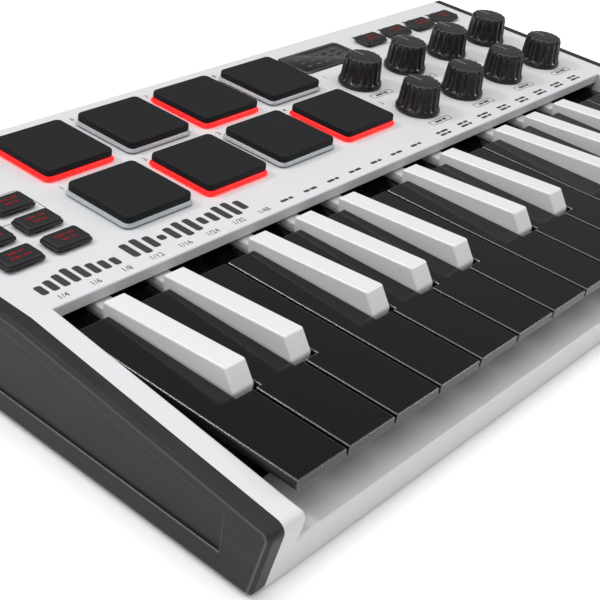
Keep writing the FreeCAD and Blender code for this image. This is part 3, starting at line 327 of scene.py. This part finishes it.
def figures(shape, words, x, y, size, low, high):
    """Numerals as thin solids, set about a middle."""
    curve = bpy.data.curves.new("figures", "FONT")
    curve.body = words
    curve.size = size
    curve.align_x = "CENTER"
    curve.align_y = "CENTER"
    curve.extrude = (high - low) / 2
    curve.resolution_u = FIGURE_STEPS
    holder = bpy.data.objects.new("figures", curve)
    bpy.context.scene.collection.objects.link(holder)
    mesh = bpy.data.meshes.new_from_object(holder.evaluated_get(bpy.context.evaluated_depsgraph_get()))
    bpy.data.objects.remove(holder)
    bpy.data.curves.remove(curve)
    mesh.transform(Matrix.Translation((x, y, (low + high) / 2)))
    part = bmesh.new()
    part.from_mesh(mesh)
    bpy.data.meshes.remove(mesh)
    bmesh.ops.remove_doubles(part, verts=part.verts, dist=WELD)
    merge(shape, part)


def below(top, profile):
    """A profile of (growth, depth under the top) in millimetres, as (growth, height) in metres."""
    return [(grow * MM, top - depth * MM) for grow, depth in profile]


def softened(node, name, radius, choose, material, slot, segments=3, body=None, highlight_rim=None):
    """A CAD node's own shape with chosen edges rounded, and a finish of their own for them: a lighter colour
    as a painted highlight.
    """
    shape = bmesh.new()
    shape.from_mesh(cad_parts[node].data)
    bmesh.ops.remove_doubles(shape, verts=shape.verts, dist=WELD)
    bmesh.ops.dissolve_limit(shape, angle_limit=FLAT_ANGLE, verts=shape.verts, edges=shape.edges)
    edges = [edge for edge in shape.edges
             if edge.is_convex and edge.calc_face_angle(0.0) > EDGE_ANGLE and choose(edge)]
    bevelled(shape, edges, radius, segments, 1 if highlight_rim else -1)
    mesh = mesh_from(name, shape)
    piece = add_piece(name, mesh, material, body or node, slot, node, angle=40.0)
    if highlight_rim:
        mesh.materials.append(highlight_rim)
    piece.modifiers.new("even shading", "WEIGHTED_NORMAL").keep_sharp = True
    return piece


def dress(node, material):
    """Give a CAD node its finish."""
    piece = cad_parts[node]
    piece.data.materials.clear()
    piece.data.materials.append(material)
    return piece


# --------------------------------------------------------------------------- operators
EYE = Vector((-332.70, -212.21, 217.32)) * MM
YAW = math.radians(-54.34)
PITCH = math.radians(-31.82)
ROLL = math.radians(9.15)
LENS = 76.5
SENSOR = 36.0
NEAR_CLIP = 0.01
FLOOR_REACH = 6.0
SKY_STRENGTH = 0.32
# name, place and side of the square in metres, power in watts
LIGHTS = (
    ("overhead_light", (0.1, 0.1, 2.2), 3.0, 59.0),
    ("side_light", (-1.6, -0.35, 0.8), 1.4, 10.0),
    ("right_light", (1.5, -1.05, 1.0), 0.5, 9.0),
    ("left_light", (-1.05, 1.05, 1.5), 0.3, 16.0),
)


class KEYBOARD_OT_stage(bpy.types.Operator):
    """Camera, pale floor and soft studio light"""

    bl_idname = "keyboard.stage"
    bl_label = "Camera and stage"

    def execute(self, context):
        scene = bpy.context.scene
        self.add_camera(scene)
        self.add_floor(scene)
        self.add_lights(scene)
        return {"FINISHED"}

    def add_camera(self, scene):
        ahead = Vector((-math.sin(YAW) * math.cos(PITCH), math.cos(YAW) * math.cos(PITCH), math.sin(PITCH)))
        level = Vector((ahead.y, -ahead.x, 0)).normalized()
        upright = level.cross(ahead)
        right = level * math.cos(ROLL) + upright * math.sin(ROLL)
        up = upright * math.cos(ROLL) - level * math.sin(ROLL)
        camera = bpy.data.objects.new("camera", bpy.data.cameras.new("camera"))
        camera.data.sensor_width = SENSOR
        camera.data.lens = LENS
        camera.data.clip_start = NEAR_CLIP
        turn = Matrix((right, up, -ahead)).transposed().to_4x4()
        camera.matrix_world = Matrix.Translation(EYE) @ turn
        scene.collection.objects.link(camera)
        scene.camera = camera
        scene.view_settings.view_transform = "Standard"

    def add_floor(self, scene):
        floor = bpy.data.objects.new("floor", bpy.data.meshes.new("floor"))
        corners = [(x * FLOOR_REACH, y * FLOOR_REACH, 0) for x, y in ((-1, -1), (1, -1), (1, 1), (-1, 1))]
        floor.data.from_pydata(corners, [], [(0, 1, 2, 3)])
        floor.data.materials.append(surface("floor_paper", (0.93, 0.93, 0.93), 0.99, 0.7,
                                            grain=300.0, clouds=3.0, bump=0.02))
        scene.collection.objects.link(floor)

    def add_lights(self, scene):
        world = bpy.data.worlds.new("studio")
        world.use_nodes = True
        sky = world.node_tree.nodes["Background"]
        sky.inputs["Color"].default_value = (1.0, 1.0, 1.0, 1.0)
        sky.inputs["Strength"].default_value = SKY_STRENGTH
        scene.world = world
        for name, place, size, power in LIGHTS:
            lamp = bpy.data.lights.new(name, "AREA")
            lamp.energy = power
            lamp.size = size
            holder = bpy.data.objects.new(name, lamp)
            holder.location = place
            holder.rotation_euler = (-Vector(place)).to_track_quat("-Z", "Y").to_euler()
            scene.collection.objects.link(holder)


CHEEK_EDGE = 0.35 * MM
FACE_MARGIN = 0.1 * MM
GLASS_DROP = 2 * MM
JACK_SHARE = 4 * MM


class KEYBOARD_OT_case(bpy.types.Operator):
    """Finishes of the case, cheeks, feet, key bed, boards and sockets"""

    bl_idname = "keyboard.case"
    bl_label = "Case and fixed parts"

    def execute(self, context):
        finish = context.scene.keyboard_finish
        white = surface("white_satin", finish.case_white, 0.97, 0.36, spread=0.04, grain=2600.0,
                        bump=0.02, relief=0.006, clouds=14.0)
        dress("top_case", white)
        dress("bottom_case", surface("base_plastic", (0.024, 0.024, 0.026), 0.7, 0.55, grain=1800.0,
                                     bump=0.5, relief=0.06))
        charcoal = surface("brushed_charcoal", finish.cheek_grey, 3.2, 0.46, spread=0.09, grain=1500.0,
                           stretch=(1.0, 0.03, 1.0), bump=0.6, relief=0.05, clouds=700.0,
                           Specular_IOR_Level=0.25)
        # The cheeks' rounded outer edges get a lighter, glossier charcoal than their faces: a painted
        # highlight along the edges.
        cheek_edge_highlight = surface("charcoal_painted_highlight", (0.034, 0.036, 0.038), 0.7, 0.32, spread=0.05, clouds=90.0)
        face = CAD_HIGH[0] - FACE_MARGIN

        def on_face(edge):
            return all(abs(vert.co.x) > face for vert in edge.verts)
        softened("end_cheeks", "cheek_shells", CHEEK_EDGE, on_face, charcoal, "charcoal_plastic",
                 segments=2, body=CASE, highlight_rim=cheek_edge_highlight)
        dress("rubber_feet", surface("foot_rubber", (0.018, 0.018, 0.018), 0.6, 0.75, bump=0.6,
                                     relief=0.05))
        dress("key_bed", surface("bed_plastic", (0.012, 0.012, 0.012), 0.6, 0.5, bump=0.3))
        board = surface("circuit_board", (0.012, 0.075, 0.03), 0.55, 0.32, grain=900.0, clouds=350.0)
        glass_line = PANEL - GLASS_DROP
        dress("circuit_boards", band(board, "Z", glass_line, (0.006, 0.006, 0.007), 0.06))
        metal = surface("socket_metal", (0.56, 0.56, 0.58), 0.8, 0.3, grain=2400.0, Metallic=1.0)
        between = middle_of("rear_sockets").x - JACK_SHARE
        dress("rear_sockets", band(metal, "X", between, (0.015, 0.015, 0.016), 0.4, above=False))
        dress("joystick_ring", surface("ring_plastic", (0.02, 0.02, 0.02), 0.7, 0.45, bump=0.2))
        return {"FINISHED"}


NATURAL_PLATE = 3.3 * MM
NATURAL_REAR = -6 * MM


class KEYBOARD_OT_naturals(bpy.types.Operator):
    """Gloss black natural keys with softly rounded edges, the edges painted lighter as a highlight"""

    bl_idname = "keyboard.naturals"
    bl_label = "Natural keys"

    def execute(self, context):
        finish = context.scene.keyboard_finish
        sizes = context.scene.keyboard_sizes
        gloss = surface("gloss_black", finish.key_black, 1.4, 0.13, spread=0.03, grain=500.0, bump=0.01,
                        relief=0.004, Specular_IOR_Level=0.3)
        # The natural keys' rounded edges get a lighter grey with stronger specular than the key: a painted
        # highlight along the edges.
        key_edge_highlight = surface("painted_edge_highlight", (0.03, 0.03, 0.031), 0.8, 0.22, spread=0.04, clouds=60.0,
                        Specular_IOR_Level=0.8)
        for node in NATURALS:
            plate_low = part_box(node)[1].z - NATURAL_PLATE

            def on_plate(edge):
                return all(vert.co.z > plate_low and vert.co.y < NATURAL_REAR for vert in edge.verts)
            softened(node, node + "_cap", sizes.natural_edge, on_plate, gloss, "black_key_plastic",
                     highlight_rim=key_edge_highlight)
        return {"FINISHED"}


SHARP_CAP = 9 * MM
SHARP_SIDE = 2 * MM


class KEYBOARD_OT_sharps(bpy.types.Operator):
    """Satin white sharp keys with rounded, sloping caps"""

    bl_idname = "keyboard.sharps"
    bl_label = "Sharp keys"

    def execute(self, context):
        finish = context.scene.keyboard_finish
        sizes = context.scene.keyboard_sizes
        satin = surface("satin_white", finish.key_white, 0.98, 0.26, spread=0.03, grain=1500.0,
                        bump=0.01, relief=0.004)
        for node in SHARPS:
            cap_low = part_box(node)[1].z - SHARP_CAP

            def on_cap(edge):
                return any(vert.co.z > cap_low + SHARP_SIDE for vert in edge.verts) and all(
                    vert.co.z > cap_low for vert in edge.verts)
            softened(node, node + "_cap", sizes.sharp_edge, on_cap, satin, "white_key_plastic", segments=4)
        return {"FINISHED"}


PAD_MARGIN = 0.75 * MM
PAD_CORNER = 2.0 * MM
# (growth beyond the pad's face, depth under its top) in millimetres
SKIRT_PROFILE = ((-1.0, 3.55), (0.65, 3.6), (0.75, 3.5), (0.72, 3.3), (0.1, 2.55), (-0.3, 2.45))
PAD_PROFILE = ((-1.35, 2.5), (-0.35, 2.45), (-0.05, 2.4), (0, 2.3), (0, 0.75), (-0.1, 0.4), (-0.32, 0.15),
               (-0.7, 0.02), (-1.2, 0), (-3.5, 0.08))


class KEYBOARD_OT_pads(bpy.types.Operator):
    """Rubber pads on their translucent skirts, some of them lit"""

    bl_idname = "keyboard.pads"
    bl_label = "Pads"

    def execute(self, context):
        finish = context.scene.keyboard_finish
        rubber = surface("pad_rubber", finish.pad_black, 0.8, 0.62, spread=0.06, grain=2600.0, bump=0.5,
                         relief=0.03, Specular_IOR_Level=0.18)
        lit = glowing("lit_skirt", finish.glow_red, 1.6, 0.6)
        unlit = surface("clear_skirt", (0.50, 0.51, 0.53), 0.85, 0.35, spread=0.08, clouds=120.0,
                        Subsurface_Weight=0.25, Transmission_Weight=0.15)
        for node in PADS:
            low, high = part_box(node)
            middle = middle_of(node)
            half = (high.x - low.x) / 2 - PAD_MARGIN
            skirt = bmesh.new()
            slab(skirt, middle, half, half, PAD_CORNER, below(high.z, SKIRT_PROFILE))
            add_piece(node + "_skirt", mesh_from("skirt", skirt), lit if node in LIT_PADS else unlit,
                      node, "pad_rubber", node)
            cap = bmesh.new()
            rows = below(high.z, PAD_PROFILE)
            foot = (rows[0][0], low.z)
            slab(cap, middle, half, half, PAD_CORNER, [foot] + rows, steps=6)
            add_piece(node + "_cap", mesh_from("cap", cap), rubber, node, "pad_rubber", node, angle=60.0)
        return {"FINISHED"}


BUTTON_MARGIN = 0.6 * MM
BUTTON_CORNER = 1.2 * MM
BUTTON_PROFILE = ((0.45, 1.5), (0.6, 1.4), (0.55, 1.15), (0.08, 0.85), (0, 0.75), (-0.08, 0.35),
                  (-0.25, 0.1), (-0.6, 0.02), (-1.6, 0.05))
STEM_HALF = 3.0 * MM
STEM_CORNER = 0.6 * MM
STEM_DROP = 1.4 * MM
# how far the two rows of a legend reach each side, in millimetres, by turns
LEGEND_REACHES = ((2.7, 3.6), (3.4, 2.5))
LEGEND_SHARES = ((-1, 0.6), (1, 0.4))
LEGEND_ROW = 1.15 * MM
LEGEND_DEPTH = 0.95 * MM
LEGEND_GAP = 0.35 * MM
LEGEND_SINK = 0.08 * MM


class KEYBOARD_OT_buttons(bpy.types.Operator):
    """Rubber push buttons with glowing legends"""

    bl_idname = "keyboard.buttons"
    bl_label = "Push buttons"

    def execute(self, context):
        finish = context.scene.keyboard_finish
        rubber = surface("button_rubber", finish.pad_black, 0.75, 0.5, spread=0.06, grain=2600.0, bump=0.4,
                         relief=0.02, Specular_IOR_Level=0.3)
        legend = glowing("legend", (0.12, 0.004, 0.006), 0.6, 0.4, scale=900.0)
        for number, node in enumerate(LEFT_BUTTONS + RIGHT_BUTTONS):
            low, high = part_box(node)
            middle = middle_of(node)
            top = high.z
            half_x = (high.x - low.x) / 2 - BUTTON_MARGIN
            half_y = (high.y - low.y) / 2 - BUTTON_MARGIN
            body = bmesh.new()
            slab(body, middle, STEM_HALF, STEM_HALF, STEM_CORNER, [(0, low.z), (0, top - STEM_DROP)])
            slab(body, middle, half_x, half_y, BUTTON_CORNER, below(top, BUTTON_PROFILE))
            add_piece(node + "_cap", mesh_from("cap", body), rubber, node, "button_rubber", node, angle=50.0)
            marks = bmesh.new()
            for row, reach in zip((1, -1), LEGEND_REACHES[number % 2]):
                for side, share in LEGEND_SHARES:
                    width = reach * 2 * MM * share - LEGEND_GAP
                    start = -reach * MM if side < 0 else reach * MM - width
                    dash(marks, middle.x + start + width / 2, middle.y + row * LEGEND_ROW, width,
                         LEGEND_DEPTH, top - LEGEND_SINK, top)
            add_piece(node + "_legend", mesh_from("legend", marks), legend, node, "button_rubber")
        return {"FINISHED"}


KNOB_BORE = 3.0 * MM
# (radius, depth under the top) in millimetres, and how much of the flutes shows
KNOB_PROFILE = ((3.0, 7.6, 0), (6.0, 7.6, 0), (6.0, 11.2, 0), (8.2, 11.2, 0), (8.4, 11.0, 0), (8.4, 10.2, 0),
                (8.25, 9.8, 0), (7.95, 9.4, 0.3), (7.8, 8.9, 1.0), (7.45, 4.5, 1.0), (7.15, 1.5, 1.0),
                (6.95, 0.8, 1.0), (6.55, 0.35, 0.8), (6.0, 0.18, 0.4), (5.2, 0.12, 0.1), (3.4, 0.08, 0),
                (1.2, 0.06, 0))
POINTS_PER_FLUTE = 8
POINTER_WIDTH = 0.5 * MM
POINTER_DEPTH = 0.15 * MM
POINTER_PLACE = 0.38
POINTER_LENGTH = 0.72


class KEYBOARD_OT_knobs(bpy.types.Operator):
    """Fluted encoder knobs with pointer lines"""

    bl_idname = "keyboard.knobs"
    bl_label = "Knobs"

    def execute(self, context):
        sizes = context.scene.keyboard_sizes
        gloss = surface("knob_gloss", (0.007, 0.007, 0.008), 1.3, 0.24, spread=0.05, grain=900.0, bump=0.08,
                        relief=0.02, Specular_IOR_Level=0.35)
        pale = surface("pointer_ink", (0.16, 0.165, 0.17), 0.9, 0.4)
        for node in KNOBS:
            low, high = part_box(node)
            middle = middle_of(node)
            top = high.z
            foot = (high.x - low.x) / 2
            rows = [(KNOB_BORE, low.z, 0)]
            rows += [(radius * MM, top - depth * MM, share) for radius, depth, share in KNOB_PROFILE]
            body = bmesh.new()
            turned(body, middle, rows, count=sizes.knob_flutes * POINTS_PER_FLUTE,
                   flutes=sizes.knob_flutes, depth=sizes.flute_depth)
            add_piece(node + "_cap", mesh_from("cap", body), gloss, node, "knob_plastic", node, angle=40.0)
            line = bmesh.new()
            dash(line, middle.x, middle.y + foot * POINTER_PLACE, POINTER_WIDTH, foot * POINTER_LENGTH,
                 top - POINTER_DEPTH, top)
            add_piece(node + "_pointer", mesh_from("pointer", line), pale, node, "knob_plastic")
        return {"FINISHED"}


# the stick's sizes in millimetres, heights from its pivot
DOME_INNER = 10.8
DOME_OUTER = 12.0
DOME_FOOT = 3.4
SHANK_RADIUS = 2.1
SHANK_DROP = 1.6
NECK_RADIUS = 3.2
PIN_RADIUS = 0.9
PIN_HALF = 7.2
# the thumb cap: (radius, depth under the top) in millimetres, and how much of the grip's grooves shows
THUMB_PROFILE = ((3.2, 4.0, 0), (3.6, 3.3, 0), (6.9, 3.2, 0), (7.4, 2.9, 0.3), (7.5, 2.4, 1), (7.5, 0.9, 1),
                 (7.4, 0.4, 0.4), (7.0, 0.1, 0), (6.6, 0, 0), (6.1, 0.12, 0), (5.0, 0.42, 0),
                 (3.0, 0.6, 0), (1.0, 0.69, 0))
THUMB_GROOVES = 24
THUMB_GROOVE = 0.25 * MM


def dome_arc(radius, base, start, end, steps):
    """Rows of a dome between two angles off its axis, with no flutes."""
    rows = []
    for step in range(steps + 1):
        angle = start + step / steps * (end - start)
        rows.append((radius * math.sin(angle), base + radius * math.cos(angle), 0))
    return rows


class KEYBOARD_OT_joystick(bpy.types.Operator):
    """Thumb joystick: dome, neck and dished cap"""

    bl_idname = "keyboard.joystick"
    bl_label = "Joystick"

    def execute(self, context):
        rubber = surface("stick_rubber", (0.016, 0.016, 0.017), 0.8, 0.5, grain=2200.0, bump=0.35,
                         relief=0.03)
        pivot = middle_of("joystick_ring")
        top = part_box("joystick_stick")[1].z / MM
        base = pivot.z / MM
        inner_start = math.asin(SHANK_RADIUS / DOME_INNER)
        rows = [(SHANK_RADIUS, base - SHANK_DROP, 0)]
        rows += dome_arc(DOME_INNER, base, inner_start, math.acos(DOME_FOOT / DOME_INNER), 8)
        rows += dome_arc(DOME_OUTER, base, math.acos(DOME_FOOT / DOME_OUTER),
                         math.asin(NECK_RADIUS / DOME_OUTER), 12)
        rows += [(radius, top - depth, share) for radius, depth, share in THUMB_PROFILE]
        body = bmesh.new()
        turned(body, pivot, [(radius * MM, z * MM, share) for radius, z, share in rows],
               count=6 * THUMB_GROOVES, flutes=THUMB_GROOVES, depth=THUMB_GROOVE)
        pin = bmesh.new()
        turned(pin, (0, 0), [(PIN_RADIUS * MM, side * PIN_HALF * MM, 0) for side in (-1, 1)], count=20)
        bmesh.ops.rotate(pin, verts=pin.verts, cent=(0, 0, 0), matrix=Matrix.Rotation(math.pi / 2, 3, "X"))
        bmesh.ops.translate(pin, verts=pin.verts, vec=pivot)
        merge(body, pin)
        add_piece("joystick_cap", mesh_from("cap", body), rubber, "joystick_stick", "stick_plastic",
                  "joystick_stick", angle=50.0)
        return {"FINISHED"}


DISPLAY_MIDDLE = Vector((52.5, 72.6)) * MM
DISPLAY_HALF_X = 18.3 * MM
DISPLAY_HALF_Y = 8.4 * MM
DISPLAY_CORNER = 2.4 * MM
# (growth, height over the panel) of the glass, in millimetres
GLASS_PROFILE = ((-0.1, 0), (0, 0.08), (0, 0.2), (-0.12, 0.28))
MARKS_LOW = 0.27 * MM
MARKS_HIGH = 0.31 * MM
BORDER_INSET = 1.1 * MM
BORDER_CORNER = 1.6 * MM
BORDER_LINE = 0.22 * MM
SEGMENT_LENGTH = 2.6 * MM
SEGMENT_PITCH = 5.6 * MM
SEGMENT_ROW = 3.4 * MM
SEGMENT_COLUMNS = 5
SEGMENT_DEPTHS = ((-1, 0.5), (0, 0.3), (1, 0.5))


class KEYBOARD_OT_display(bpy.types.Operator):
    """Display glass with its printed border and faint segments"""

    bl_idname = "keyboard.display"
    bl_label = "Display glass"

    def execute(self, context):
        glass = surface("display_glass", (0.005, 0.005, 0.006), 1.5, 0.08, spread=0.02, grain=300.0,
                        bump=0.01, Specular_IOR_Level=0.35)
        border = surface("display_border", (0.10, 0.105, 0.11), 0.85, 0.3)
        middle = DISPLAY_MIDDLE
        body = bmesh.new()
        slab(body, middle, DISPLAY_HALF_X, DISPLAY_HALF_Y, DISPLAY_CORNER,
             [(grow * MM, PANEL_TOP + height * MM) for grow, height in GLASS_PROFILE])
        add_piece("display_glass", mesh_from("glass", body), glass, CASE, "circuit_board")
        lines = bmesh.new()
        low, high = PANEL_TOP + MARKS_LOW, PANEL_TOP + MARKS_HIGH
        outline_ring(lines, middle, DISPLAY_HALF_X - BORDER_INSET, DISPLAY_HALF_Y - BORDER_INSET,
                     BORDER_CORNER, BORDER_LINE, low, high)
        for column in range(SEGMENT_COLUMNS):
            x = middle.x + (column - SEGMENT_COLUMNS // 2) * SEGMENT_PITCH
            for row, depth in SEGMENT_DEPTHS:
                dash(lines, x, middle.y + row * SEGMENT_ROW, SEGMENT_LENGTH, depth * MM, low, high)
        add_piece("display_marks", mesh_from("marks", lines), border, CASE, "circuit_board")
        return {"FINISHED"}


# places and sizes of the panel's print, in millimetres
FRACTIONS = ("1/4", "1/6", "1/8", "1/12", "1/16", "1/24", "1/32", "1/48")
FRACTION_FIRST = -140.6
FRACTION_LAST = -60.9
FRACTION_ROW = 1.5
FRACTION_SIZE = 2.9
NUMERAL_SIZE = 3.0
LABEL_DEPTH = 1.1
LABEL_SPACE = 0.5
SMALL_LABEL_DEPTH = 1.0
TINY_LABEL_DEPTH = 0.8
OUTLINE_WIDTH = 0.25
# labels on the lip: how many, first middle, pitch, and rows of (place, even lengths, odd lengths)
LIP_LABELS = (
    (7, -49.5, 11.6, ((2.2, (3.4, 1.8), (2.6, 3.0)),)),
    (8, 37.7, 13.4, ((3.3, (2.4, 4.0), (3.2, 2.6)), (1.4, (3.6, 2.2), (4.4, 1.8)))),
)
KNOB_LABEL_DROP = 10.9
KNOB_LABEL_HALF = (6.2, 1.45)
KNOB_LABEL_CORNER = 0.9
KNOB_LABELS = ((4.2, 2.2), (2.6, 3.6))
KNOB_NUMERAL = (-7.1, 11.2)
REAR_KNOBS = 4
PAD_NUMERAL = (2.2, 2.5)
PAD_LABEL_SIDE = 17.0
PAD_LABEL = (4.0, 3.0, 5.0)
RIGHT_LABEL_RISE = 6.9
RIGHT_LABEL = (3.0, 4.0)
LEFT_LABEL_RISE = 5.75
LEFT_LABEL = (2.8, 3.4)
PAIR_HALF = (17.2, 7.6)
PAIR_CORNER = 1.5


def meter_bars():
    """Bars of a level meter that peaks near its left end, as (x, y, width, depth)."""
    for index in range(8):
        height = 3.0 + 4.5 * (1 - abs(index - 3) / 6) ** 1.5
        yield -143.6 + index * 3.7, 4.6 + height / 2, 2.5, height


def sequence_bars():
    """Bars of a run of steps that swells and fades, as (x, y, width, depth)."""
    for index in range(12):
        height = 2.6 + 5.9 * abs(math.sin(1.0 + index * 0.72))
        yield -110.6 + index * 4.2, 8.3, 2.7, height


class KEYBOARD_OT_print(bpy.types.Operator):
    """Printed scales, numerals, label bars and outlines on the panel"""

    bl_idname = "keyboard.print"
    bl_label = "Panel print"

    def execute(self, context):
        finish = context.scene.keyboard_finish
        sizes = context.scene.keyboard_sizes
        ink = surface("panel_ink", finish.ink, 1.6, 0.5, spread=0.05)
        low, high = PANEL_TOP, PANEL_TOP + sizes.ink_height
        marks = bmesh.new()

        def bar(x, y, width, depth):
            dash(marks, x * MM, y * MM, width * MM, depth * MM, low, high)

        def label(x, y, lengths, depth):
            """A row of label bars about a middle."""
            start = x - (sum(lengths) + LABEL_SPACE * (len(lengths) - 1)) / 2
            for length in lengths:
                bar(start + length / 2, y, length, depth)
                start += length + LABEL_SPACE

        def numeral(text, x, y, size=NUMERAL_SIZE):
            figures(marks, text, x * MM, y * MM, size * MM, low, high)

        def outline(x, y, half, corner):
            outline_ring(marks, (x * MM, y * MM), half[0] * MM, half[1] * MM, corner * MM,
                         OUTLINE_WIDTH * MM, low, high)

        for index, text in enumerate(FRACTIONS):
            share = index / (len(FRACTIONS) - 1)
            x = FRACTION_FIRST + (FRACTION_LAST - FRACTION_FIRST) * share
            numeral(text, x, FRACTION_ROW, FRACTION_SIZE)
        for count, first, pitch, rows in LIP_LABELS:
            for index in range(count):
                for y, even, odd in rows:
                    label(first + pitch * index, y, odd if index % 2 else even, LABEL_DEPTH)
        for bars in (meter_bars(), sequence_bars()):
            for place in bars:
                bar(*place)
        for index, node in enumerate(KNOBS):
            middle = middle_of(node) / MM
            outline(middle.x, middle.y - KNOB_LABEL_DROP, KNOB_LABEL_HALF, KNOB_LABEL_CORNER)
            label(middle.x, middle.y - KNOB_LABEL_DROP, KNOB_LABELS[index % 2], SMALL_LABEL_DEPTH)
            number = (index + REAR_KNOBS) % len(KNOBS) + 1
            numeral(str(number), middle.x + KNOB_NUMERAL[0], middle.y + KNOB_NUMERAL[1])
        for number, node in enumerate(PADS, start=1):
            corner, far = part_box(node)
            left, rear = corner.x / MM, far.y / MM
            numeral(str(number), left + PAD_NUMERAL[0], rear + PAD_NUMERAL[1])
            label(left + PAD_LABEL_SIDE, rear + PAD_NUMERAL[1], PAD_LABEL, SMALL_LABEL_DEPTH)
        for node in RIGHT_BUTTONS:
            middle = middle_of(node) / MM
            label(middle.x, middle.y + RIGHT_LABEL_RISE, RIGHT_LABEL, SMALL_LABEL_DEPTH)
        for node in LEFT_BUTTONS:
            middle = middle_of(node) / MM
            label(middle.x, middle.y + LEFT_LABEL_RISE, LEFT_LABEL, TINY_LABEL_DEPTH)
        rear_pair = [middle_of(node) / MM for node in LEFT_BUTTONS[-2:]]
        centre = (rear_pair[0] + rear_pair[1]) / 2
        outline(centre.x, centre.y, PAIR_HALF, PAIR_CORNER)
        add_piece("panel_print", mesh_from("print", marks), ink, CASE, "white_case_plastic")
        return {"FINISHED"}


# the screws' places in plan, in millimetres
SCREW_PLACES = ((-148.4, 84.9), (-148.4, 9.2), (148.4, 84.9), (148.4, 9.2), (0.0, 84.9), (-97.0, -79.5),
                (97.0, -79.5))
# (radius, height over the floor plate's foot) in millimetres
SCREW_PROFILE = ((1.5, 0.12), (2.05, 0.3), (2.2, 0.6), (2.2, 1.0), (1.05, 1.02), (1.05, 6.6), (0.3, 7.6))
CROSS_ARMS = ((1.3, 0.28), (0.28, 1.3))
CROSS_CORNER = 0.1
CROSS_LOW = -0.5
CROSS_HIGH = 0.85
SCREW_TURN = 0.7


class KEYBOARD_OT_screws(bpy.types.Operator):
    """Screws that hold the floor plate to the case"""

    bl_idname = "keyboard.screws"
    bl_label = "Case screws"

    def execute(self, context):
        steel = surface("screw_steel", (0.30, 0.30, 0.32), 0.8, 0.32, grain=2000.0, Metallic=1.0)
        single = self.screw(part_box("bottom_case")[0].z)
        every = bmesh.new()
        for x, y in SCREW_PLACES:
            copy = single.copy()
            turn = Matrix.Rotation(x * SCREW_TURN + y, 4, "Z")
            copy.transform(Matrix.Translation((x * MM, y * MM, 0)) @ turn)
            every.from_mesh(copy)
            bpy.data.meshes.remove(copy)
        add_piece("case_screws", mesh_from("screws", every), steel, CASE, "socket_metal")
        return {"FINISHED"}

    def screw(self, low):
        """One upright screw with a cross recess in its head."""
        cross = bmesh.new()
        for half_x, half_y in CROSS_ARMS:
            slab(cross, (0, 0), half_x * MM, half_y * MM, CROSS_CORNER * MM,
                 [(0, low + CROSS_LOW * MM), (0, low + CROSS_HIGH * MM)], steps=2)
        head = bmesh.new()
        turned(head, (0, 0), [(radius * MM, low + z * MM, 0) for radius, z in SCREW_PROFILE], count=32)
        tool = bpy.data.objects.new("cross", mesh_from("cross", cross))
        blank = bpy.data.objects.new("head", mesh_from("head", head))
        for item in (tool, blank):
            bpy.context.scene.collection.objects.link(item)
        recess = blank.modifiers.new("recess", "BOOLEAN")
        recess.object = tool
        recess.operation = "DIFFERENCE"
        recess.use_self = True
        mesh = bpy.data.meshes.new_from_object(blank.evaluated_get(bpy.context.evaluated_depsgraph_get()))
        bpy.data.objects.remove(tool)
        bpy.data.objects.remove(blank)
        return mesh


class KEYBOARD_PT_panel(bpy.types.Panel):
    """The keyboard's builders and settings"""

    bl_idname = "KEYBOARD_PT_panel"
    bl_label = "Mini keyboard"
    bl_space_type = "VIEW_3D"
    bl_region_type = "UI"
    bl_category = "Keyboard"

    def draw(self, context):
        for operator in OPERATORS:
            self.layout.operator(operator.bl_idname)
        for settings in (context.scene.keyboard_finish, context.scene.keyboard_sizes):
            for name in settings.__annotations__:
                self.layout.prop(settings, name)


OPERATORS = (KEYBOARD_OT_stage, KEYBOARD_OT_case, KEYBOARD_OT_naturals, KEYBOARD_OT_sharps, KEYBOARD_OT_pads,
             KEYBOARD_OT_buttons, KEYBOARD_OT_knobs, KEYBOARD_OT_joystick, KEYBOARD_OT_display,
             KEYBOARD_OT_print, KEYBOARD_OT_screws)
CLASSES = (KeyboardFinish, KeyboardSizes, KEYBOARD_PT_panel) + OPERATORS


def register():
    for cls in CLASSES:
        bpy.utils.register_class(cls)
    bpy.types.Scene.keyboard_finish = PointerProperty(type=KeyboardFinish)
    bpy.types.Scene.keyboard_sizes = PointerProperty(type=KeyboardSizes)


def unregister():
    del bpy.types.Scene.keyboard_finish
    del bpy.types.Scene.keyboard_sizes
    for cls in reversed(CLASSES):
        bpy.utils.unregister_class(cls)


def main():
    register()
    for operator in OPERATORS:
        area, name = operator.bl_idname.split(".")
        getattr(getattr(bpy.ops, area), name)()


if __name__ == "__main__":
    main()
